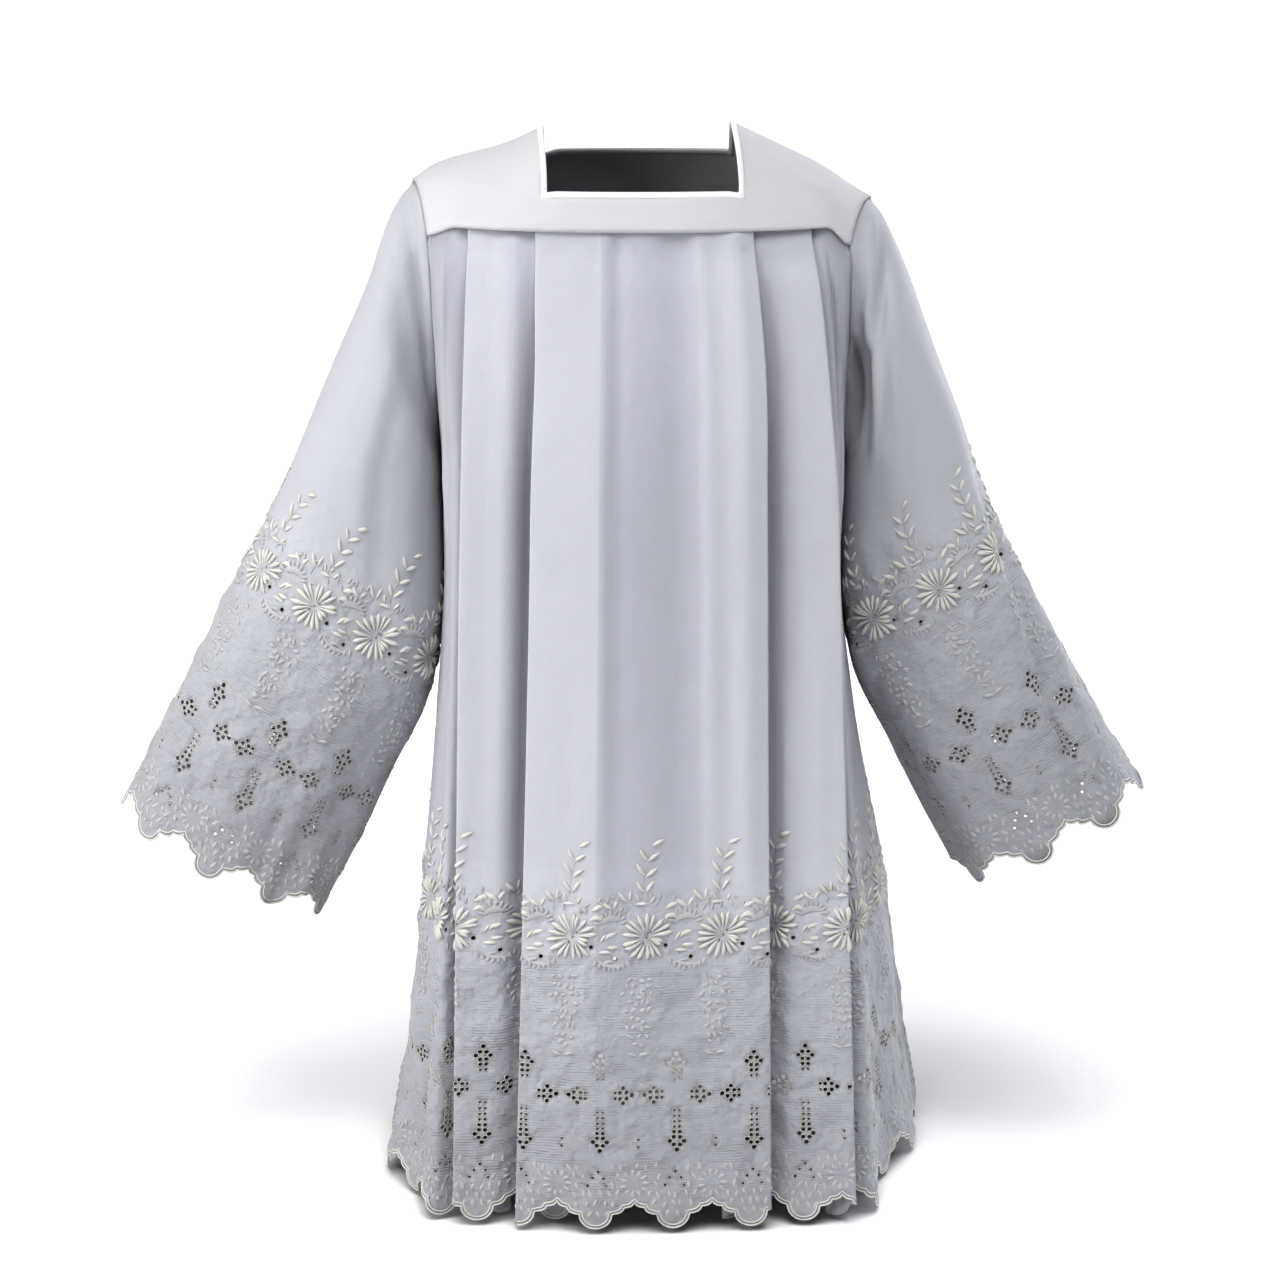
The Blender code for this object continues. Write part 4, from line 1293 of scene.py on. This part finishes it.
def binding_object():
    """The neck's binding: a strip folded round the opening's edge, with a full, rounded outer side."""
    loops = []
    for place in BINDING_SECTION:
        x, down = neck_loop(place.inset).T
        loops.append(yoke_point(x, down) + yoke_normals(x, down) * place.lift)
    count, around = min(len(loop) for loop in loops), len(loops)
    points = np.stack([resampled(loop, count)[:-1] for loop in loops], axis=1).reshape(-1, 3)
    faces = grid_faces(count, around, rows_joined=True, columns_joined=True)
    return new_object("neck_binding_strip", points, faces)


# ---- Materials ----

COTTON = (0.530, 0.535, 0.560)
PANEL_COTTON = (0.522, 0.526, 0.564)
# Partly painted light: the panels' cotton where folds lie behind it, lighter as doubled cloth is and lighter
# still as painted light, which leaves the single stretches between in painted shade.
LAYERED_LIT_COTTON = (0.566, 0.570, 0.602)
# Painted shade: the darker cotton that the border fades to, fully at the hem.
BORDER_SHADE_COTTON = (0.432, 0.436, 0.458)
# Partly painted light: the yoke's cotton, lighter as doubled cloth is and lighter still as painted light on
# the yoke that faces the light from above.
YOKE_LIT_COTTON = (0.618, 0.620, 0.632)
BINDING = (0.780, 0.780, 0.790)
THREAD = (0.635, 0.632, 0.600)
# Painted shade: the low stitches' thread, darker than the raised thread, to the tone of the border's painted
# shade.
LOW_SHADED_THREAD = (0.505, 0.507, 0.515)
Look = namedtuple("Look", "roughness sheen specular")
COTTON_LOOK = Look(0.82, 0.25, 0.25)
THREAD_LOOK = Look(0.48, 0.15, 0.45)
BINDING_LOOK = Look(0.70, 0.20, 0.25)
FLOOR_LOOK = Look(0.9, 0.0, 0.25)
SHEEN_ROUGHNESS = 0.45
Grain = namedtuple("Grain", "scale detail depth")  # of the fine bumps in a surface
CRUMPLE = Grain(55.0, 5.0, 0.0010)
BORDER_PUCKERS = (Grain(40.0, 2.0, 0.0060), Grain(100.0, 2.0, 0.0028))
THREAD_GRAIN = Grain(900.0, 2.0, 0.00025)
BINDING_GRAIN = Grain(420.0, 3.0, 0.0003)
RIB_PITCH, RIB_DEPTH = 0.0027, 0.00019
RIB_UNEVENNESS = Grain(26.0, 3.0, 0.0)
RIB_WANDER = 7.0
RIB_PATCHES = (0.40, 0.60)
RIB_TOP, RIB_FOOT = (0.262, 0.235), (0.0, 0.03)  # heights where the ribs are none and full
PUCKERS_TOP = (0.335, 0.285)
# Painted shade: heights where the cotton darkens down through the border, a little from its top and the rest
# towards the hem.
BORDER_SHADE_TOP, BORDER_SHADE_TOP_SHARE = (0.31, 0.25), 0.35
BORDER_SHADE_FOOT, BORDER_SHADE_FOOT_SHARE = (0.25, 0.02), 0.65
WEAVE_PITCH, WEAVE_DEPTH = 0.0011, 0.00006


def principled(name, colour, look):
    material = bpy.data.materials.new(name)
    material.use_nodes = True
    inputs = material.node_tree.nodes["Principled BSDF"].inputs
    inputs["Base Color"].default_value = (*colour, 1.0)
    inputs["Roughness"].default_value = look.roughness
    inputs["Sheen Weight"].default_value = look.sheen
    inputs["Sheen Roughness"].default_value = SHEEN_ROUGHNESS
    inputs["Specular IOR Level"].default_value = look.specular
    return material, inputs


def add(tree, kind, inputs=(), **settings):
    """A node whose inputs are each set to a value or linked to another node's output."""
    node = tree.nodes.new(kind)
    for name, value in settings.items():
        setattr(node, name, value)
    for name, value in dict(inputs).items():
        if isinstance(value, bpy.types.NodeSocket):
            tree.links.new(value, node.inputs[name])
        else:
            node.inputs[name].default_value = value
    return node.outputs


def math_node(tree, operation, first, second=0.0):
    return add(tree, "ShaderNodeMath", {0: first, 1: second}, operation=operation)[0]


def product(tree, first, second):
    return math_node(tree, "MULTIPLY", first, second)


def share_between(tree, value, none, full):
    """0 where the value is at or past none, 1 where it is at or past full, and even between them."""
    inputs = {"From Min": none, "From Max": full, "To Min": 0.0, "To Max": 1.0, "Value": value}
    return add(tree, "ShaderNodeMapRange", inputs)["Result"]


def noise(tree, grain, place):
    inputs = {"Scale": grain.scale, "Detail": grain.detail, "Vector": place}
    return add(tree, "ShaderNodeTexNoise", inputs)["Fac"]


def wave_height(tree, place, pitch):
    return math_node(tree, "SINE", product(tree, place, 2 * math.pi / pitch))


def bump(tree, heights):
    """The normal of a surface with these heights, each with how deep it is, one on another."""
    normal = {}
    for height, depth in heights:
        inputs = {"Strength": 1.0, "Distance": depth, "Height": height, **normal}
        normal = {"Normal": add(tree, "ShaderNodeBump", inputs)["Normal"]}
    return normal["Normal"]


# Partly painted light: on these stretches the cotton is lighter, as doubled cloth is and further as painted
# light, and the single stretches between keep a painted shade.
LayeredLitStretch = namedtuple("LayeredLitStretch", "start full_from full_to end")  # u of a stretch with folds behind it
FRONT_LAYERED_LIT = table(
    LayeredLitStretch,
    (-282, -280, -256, -234),
    (-121, -119, -46.5, -44.5),
    (53, 60, 119, 121),
    (226, 256, 292, 294),
)
BACK_LAYERED_LIT = table(
    LayeredLitStretch,
    (-292, -290, -250, -230),
    (-121, -119, -76, -74),
    (74, 76, 119, 121),
    (230, 250, 290, 292),
)


def cotton_material(name, colour, layered_lit_stretches=(), painted_light_and_shade=True):
    """Cotton, lighter on the layered stretches where folds lie behind it, partly as doubled cloth is and
    partly as painted light beside the painted shade of the single stretches, and darker with painted shade
    down through the border, most at the hem.
    """
    material, shader = principled(name, colour, COTTON_LOOK)
    tree = material.node_tree
    place = add(tree, "ShaderNodeTexCoord")["Object"]
    uv = add(tree, "ShaderNodeUVMap", uv_map="cloth")["UV"]
    across, height, _ = add(tree, "ShaderNodeSeparateXYZ", {"Vector": uv})
    if painted_light_and_shade:
        tree.links.new(cotton_painted_light_and_shade(tree, across, height, colour, layered_lit_stretches), shader["Base Color"])
    border = share_between(tree, height, *PUCKERS_TOP)
    weave = product(tree, wave_height(tree, across, WEAVE_PITCH), wave_height(tree, height, WEAVE_PITCH))
    heights = [(noise(tree, CRUMPLE, place), CRUMPLE.depth)]
    heights += [(product(tree, noise(tree, grain, place), border), grain.depth) for grain in BORDER_PUCKERS]
    heights += [(rib_height(tree, uv, height), RIB_DEPTH), (weave, WEAVE_DEPTH)]
    tree.links.new(bump(tree, heights), shader["Normal"])
    return material


def colour_mix(tree, share, first, second):
    """Colour between two others, of which the first may be a node's."""
    first = (*first, 1.0) if isinstance(first, tuple) else first
    inputs = {"Factor": share, "A": first, "B": (*second, 1.0)}
    return add(tree, "ShaderNodeMix", inputs, data_type="RGBA")["Result"]


# Painted light and shade in the cotton's colour: lighter on the layered stretches, darker down through the
# border to the hem.
def cotton_painted_light_and_shade(tree, across, height, colour, layered_lit_stretches):
    share = None
    for stretch in layered_lit_stretches:
        rise = share_between(tree, across, stretch.start, stretch.full_from)
        fall = share_between(tree, across, stretch.end, stretch.full_to)
        inside = product(tree, rise, fall)
        share = math_node(tree, "ADD", share, inside) if share else inside
    if share:
        colour = colour_mix(tree, share, colour, LAYERED_LIT_COTTON)
    # Painted shade: darker down through the border, fully the border's shaded colour at the hem.
    top = product(tree, share_between(tree, height, *BORDER_SHADE_TOP), BORDER_SHADE_TOP_SHARE)
    foot = product(tree, share_between(tree, height, *BORDER_SHADE_FOOT), BORDER_SHADE_FOOT_SHARE)
    return colour_mix(tree, math_node(tree, "ADD", top, foot), colour, BORDER_SHADE_COTTON)


def rib_height(tree, uv, height):
    """Close rows of stitching across the border's ground, uneven and fading in patches."""
    uneven = noise(tree, RIB_UNEVENNESS, uv)
    turn = product(tree, height, 2 * math.pi / RIB_PITCH)
    wave = math_node(tree, "SINE", math_node(tree, "ADD", turn, product(tree, uneven, RIB_WANDER)))
    band = product(tree, share_between(tree, height, *RIB_TOP), share_between(tree, height, *RIB_FOOT))
    patchy = product(tree, band, share_between(tree, uneven, *RIB_PATCHES))
    return product(tree, wave, patchy)


def grained_material(name, colour, look, grain):
    material, shader = principled(name, colour, look)
    tree = material.node_tree
    place = add(tree, "ShaderNodeTexCoord")["Object"]
    tree.links.new(bump(tree, [(noise(tree, grain, place), grain.depth)]), shader["Normal"])
    return material


# ---- Camera, light and floor ----

CAMERA_DISTANCE = 3.5
CAMERA_HEIGHT = 0.55
CAMERA_PITCH = math.radians(16.46)
FOCAL_PIXELS = 3903.0
FRAME_PIXELS = 1280.0
MIDDLE_PIXEL = 642.0
SENSOR = 0.036
CAMERA_REACH = 200.0
FLOOR_LEVEL = -1.003
FLOOR_HALF = 40.0
FLOOR = (0.97, 0.97, 0.97)
ALL_ROUND, ALL_ROUND_STRENGTH = (0.90, 0.92, 1.0, 1.0), 0.12
BACKDROP, BACKDROP_STRENGTH = (1.0, 1.0, 1.0, 1.0), 1.20
PICTURE_GAMMA = 0.65
Softbox = namedtuple("Softbox", "name place power")
SOFTBOXES = (Softbox("key", (-1.60, -1.60, 0.50), 12.0), Softbox("left_fill", (-2.20, -0.60, 0.60), 9.0))
SOFTBOX_SIZE = 0.9
SOFTBOX_COLOUR = (1.0, 0.99, 0.975)
SOFTBOX_TARGET = Vector((0.0, 0.0, -0.45))
SUN_SPREAD = 40.0
Sun = namedtuple("Sun", "name azimuth elevation strength colour")  # azimuth to the left of the camera's side
SUNS = (
    Sun("top", -3.0, 65.0, 2.60, (0.995, 0.992, 1.0)),
    Sun("left", 75.0, 20.0, 0.80, (1.0, 0.995, 0.985)),
    Sun("right", -110.0, 20.0, 0.96, (0.93, 0.95, 1.0)),
    Sun("back", -152.0, 24.0, 1.50, (0.95, 0.96, 1.0)),
)


def add_camera():
    data = bpy.data.cameras.new("camera")
    data.sensor_width = SENSOR * 1000
    data.lens = SENSOR * 1000 * FOCAL_PIXELS / FRAME_PIXELS
    data.shift_x = (FRAME_PIXELS / 2 - MIDDLE_PIXEL) / FRAME_PIXELS
    data.clip_end = CAMERA_REACH
    camera = placed("camera", data)
    camera.location = (0.0, -CAMERA_DISTANCE, CAMERA_HEIGHT)
    camera.rotation_euler = (math.pi / 2 - CAMERA_PITCH, 0.0, 0.0)
    bpy.context.scene.camera = camera


def add_light(data, power, colour, towards):
    data.energy = power
    data.color = colour
    light = placed(data.name, data)
    light.rotation_euler = towards.to_track_quat("-Z", "Y").to_euler()
    return light


def add_sun(sun):
    """A soft light from far away."""
    data = bpy.data.lights.new(sun.name, "SUN")
    data.angle = math.radians(SUN_SPREAD)
    turn, rise = math.radians(sun.azimuth), math.radians(sun.elevation)
    source = Vector((-math.sin(turn) * math.cos(rise), -math.cos(turn) * math.cos(rise), math.sin(rise)))
    add_light(data, sun.strength, sun.colour, -source)


def add_softbox(softbox):
    data = bpy.data.lights.new(softbox.name, "AREA")
    data.shape = "DISK"
    data.size = SOFTBOX_SIZE
    light = add_light(data, softbox.power, SOFTBOX_COLOUR, SOFTBOX_TARGET - Vector(softbox.place))
    light.location = softbox.place


def add_floor():
    corners = [(x * FLOOR_HALF, y * FLOOR_HALF, FLOOR_LEVEL) for x, y in ((-1, -1), (1, -1), (1, 1), (-1, 1))]
    floor = new_object("floor", corners, [(0, 1, 2, 3)])
    floor.data.materials.append(principled("floor", FLOOR, FLOOR_LOOK)[0])


def add_world():
    """A dim blue-white light from all round, which the camera sees as a white backdrop."""
    world = bpy.data.worlds.new("studio")
    world.use_nodes = True
    tree = world.node_tree
    light = tree.nodes["Background"]
    light.inputs["Color"].default_value = ALL_ROUND
    light.inputs["Strength"].default_value = ALL_ROUND_STRENGTH
    backdrop = add(tree, "ShaderNodeBackground", {"Color": BACKDROP, "Strength": BACKDROP_STRENGTH})[0]
    seen = add(tree, "ShaderNodeLightPath")["Is Camera Ray"]
    mixed = add(tree, "ShaderNodeMixShader", {0: seen, 1: light.outputs[0], 2: backdrop})[0]
    tree.links.new(mixed, tree.nodes["World Output"].inputs["Surface"])
    bpy.context.scene.world = world


def add_stage():
    add_floor()
    add_world()
    for softbox in SOFTBOXES:
        add_softbox(softbox)
    for sun in SUNS:
        add_sun(sun)
    bpy.context.scene.view_settings.view_transform = "Standard"
    bpy.context.scene.view_settings.gamma = PICTURE_GAMMA


# ---- The surplice ----

FRONT_CREASES = table(
    Crease,
    (-41, 1160, -40, 200, 4.5, 1.7),
    (-26, 1180, -24, 260, 8, -1.8),
    (34, 1180, 44, 180, 20, -3),
    (60, 1100, 68, 300, 8, 1.6),
    (100, 1150, 102, 100, 13, 3.4),
    (84, 640, 82, 160, 10, -1),
    (-72, 560, -76, 120, 11, -1.2),
    (4, 500, 8, 100, 16, 1.2),
    (245, 860, 235, 420, 9, -3),
    (275, 620, 260, 180, 11, 2),
    (372, 905, 400, 700, 9, -5),
    (400, 880, 415, 600, 8, 3),
    (-240, 1080, -242, 150, 11, 3),
    (-455, 900, -475, 560, 8, 3),
    (-470, 600, -490, 100, 12, -3),
)
BACK_CREASES = table(
    Crease,
    (-30, 860, -28, 260, 7, 1.4),
    (45, 840, 44, 200, 10, -1.5),
    (-78, 700, -82, 240, 12, -1.4),
    (230, 800, 225, 300, 10, -2.5),
    (-240, 760, -230, 200, 11, 2),
    (410, 820, 430, 300, 12, -3),
    (-420, 800, -430, 360, 11, -3),
)
RIGHT_SLEEVE_CREASES = table(
    Crease,
    (-50, 684, 255, 482, 6.5, -7),
    (0, 672, 245, 508, 6, 3.2),
    (110, 560, 165, 300, 16, 2.4),
    (150, 520, 190, 260, 11, -1.4),
    (200, 470, 226, 220, 15, 2.2),
    (176, 130, 192, -100, 10, -3.5),
    (205, 110, 218, -120, 8.5, -6),
    (232, 100, 240, -120, 7, 5),
    (245, 260, 232, -140, 30, -8),
    (40, 170, 30, -60, 18, 4),
    (-20, 640, -230, 490, 7, -6),
    (-120, 520, -150, 220, 16, 4),
    (-180, 450, -180, 180, 14, -4),
    (-200, 140, -225, -90, 12, -7),
)
LEFT_SLEEVE_CREASES = table(
    Crease,
    (40, 622, -165, 450, 5, -5),
    (30, 630, -180, 455, 6, 4.8),
    (-100, 527, -188, 380, 8, 9.5),
    (-105, 495, -160, 370, 6, -3),
    (-150, 525, -230, 410, 12, -16),
    (-225, 465, -255, 405, 7, 6),
    (-110, 450, -160, 230, 15, -4),
    (-60, 500, -70, 100, 18, 4.5),
    (-24, 350, -112, -80, 8, -6),
    (-4, 330, -78, -80, 14, 4),
    (-248, 240, -238, -120, 30, -8),
    (-190, 200, -205, -80, 14, 4.5),
    (20, 600, 200, 470, 7, -6),
    (120, 500, 140, 220, 16, 4),
    (180, 430, 170, 180, 14, -4),
)
FRONT_BORDER = Border(REPEAT, 0.0324, 0.0, 0.0)
BACK_BORDER = Border(REPEAT, 0.0100, 0.0, 0.0)
RIGHT_SLEEVE_BORDER = Border(0.0685, 0.1425, 0.002, 0.4)
LEFT_SLEEVE_BORDER = Border(0.0730, -0.1535, -0.019, -0.8)
CUT_SAMPLES = 100


def dress(piece, material, slot, *nodes):
    piece.data.materials.append(material)
    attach(piece, "root")
    if nodes:
        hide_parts(*nodes)


def cut_size(cloth):
    """Width and length of the piece's cut, and its flat area."""
    tops = cloth.top(cloth.columns, np.zeros(len(cloth.columns)))
    hem = SCALLOP_LOW + cloth.border.lift
    heights = np.linspace(hem, tops.mean(), CUT_SAMPLES)
    width = cloth.columns[-1] - cloth.columns[0]
    area = width * cloth.narrowing(heights).mean() * (tops.mean() - hem)
    return (width, tops.max() - hem), area


def add_cloth(cloth, node, cotton, threads):
    piece = cloth_object(cloth)
    embroidery = embroidery_objects(cloth)
    dress(piece, cotton, "cotton", node)
    for stitches, thread in zip(embroidery, threads):
        dress(stitches, thread, "embroidery")
    flat, area = cut_size(cloth)


def add_yoke():
    yoke = yoke_object()
    # The yoke's cotton is partly painted light: whiter than the panels'.
    dress(yoke, cotton_material("doubled_lit_cotton", YOKE_LIT_COTTON, painted_light_and_shade=False), "cotton", "yoke")
    strip = binding_object()
    dress(strip, grained_material("binding", BINDING, BINDING_LOOK, BINDING_GRAIN), "binding", "neck_binding")


def add_surplice():
    cotton = cotton_material("cotton", COTTON)
    # The panels' cotton carries painted light on its layered stretches and painted shade in its border.
    front_cotton = cotton_material("front_cotton", PANEL_COTTON, FRONT_LAYERED_LIT)
    back_cotton = cotton_material("back_cotton", PANEL_COTTON, BACK_LAYERED_LIT)
    threads = [
        grained_material("embroidery", THREAD, THREAD_LOOK, THREAD_GRAIN),
        # Painted shade: the low stitches' thread is darker than the raised thread.
        grained_material("low_shaded_embroidery", LOW_SHADED_THREAD, THREAD_LOOK, THREAD_GRAIN),
    ]
    add_yoke()
    front = panel_cloth("front_cloth", FRONT, FRONT_BORDER, FRONT_CREASES, 1)
    add_cloth(front, "front_panel", front_cotton, threads)
    back = panel_cloth("back_cloth", BACK, BACK_BORDER, BACK_CREASES, 2)
    add_cloth(back, "back_panel", back_cotton, threads)
    look = RIGHT_SLEEVE_BORDER, RIGHT_SLEEVE_CREASES, 3
    right = sleeve_cloth("right_sleeve_cloth", "right", RIGHT_SLEEVE_ROWS, *look)
    add_cloth(right, "right_sleeve", cotton, threads)
    look = LEFT_SLEEVE_BORDER, LEFT_SLEEVE_CREASES, 4
    left = sleeve_cloth("left_sleeve_cloth", "left", LEFT_SLEEVE_ROWS, *look)
    add_cloth(left, "left_sleeve", cotton, threads)


add_camera()
add_stage()
add_surplice()
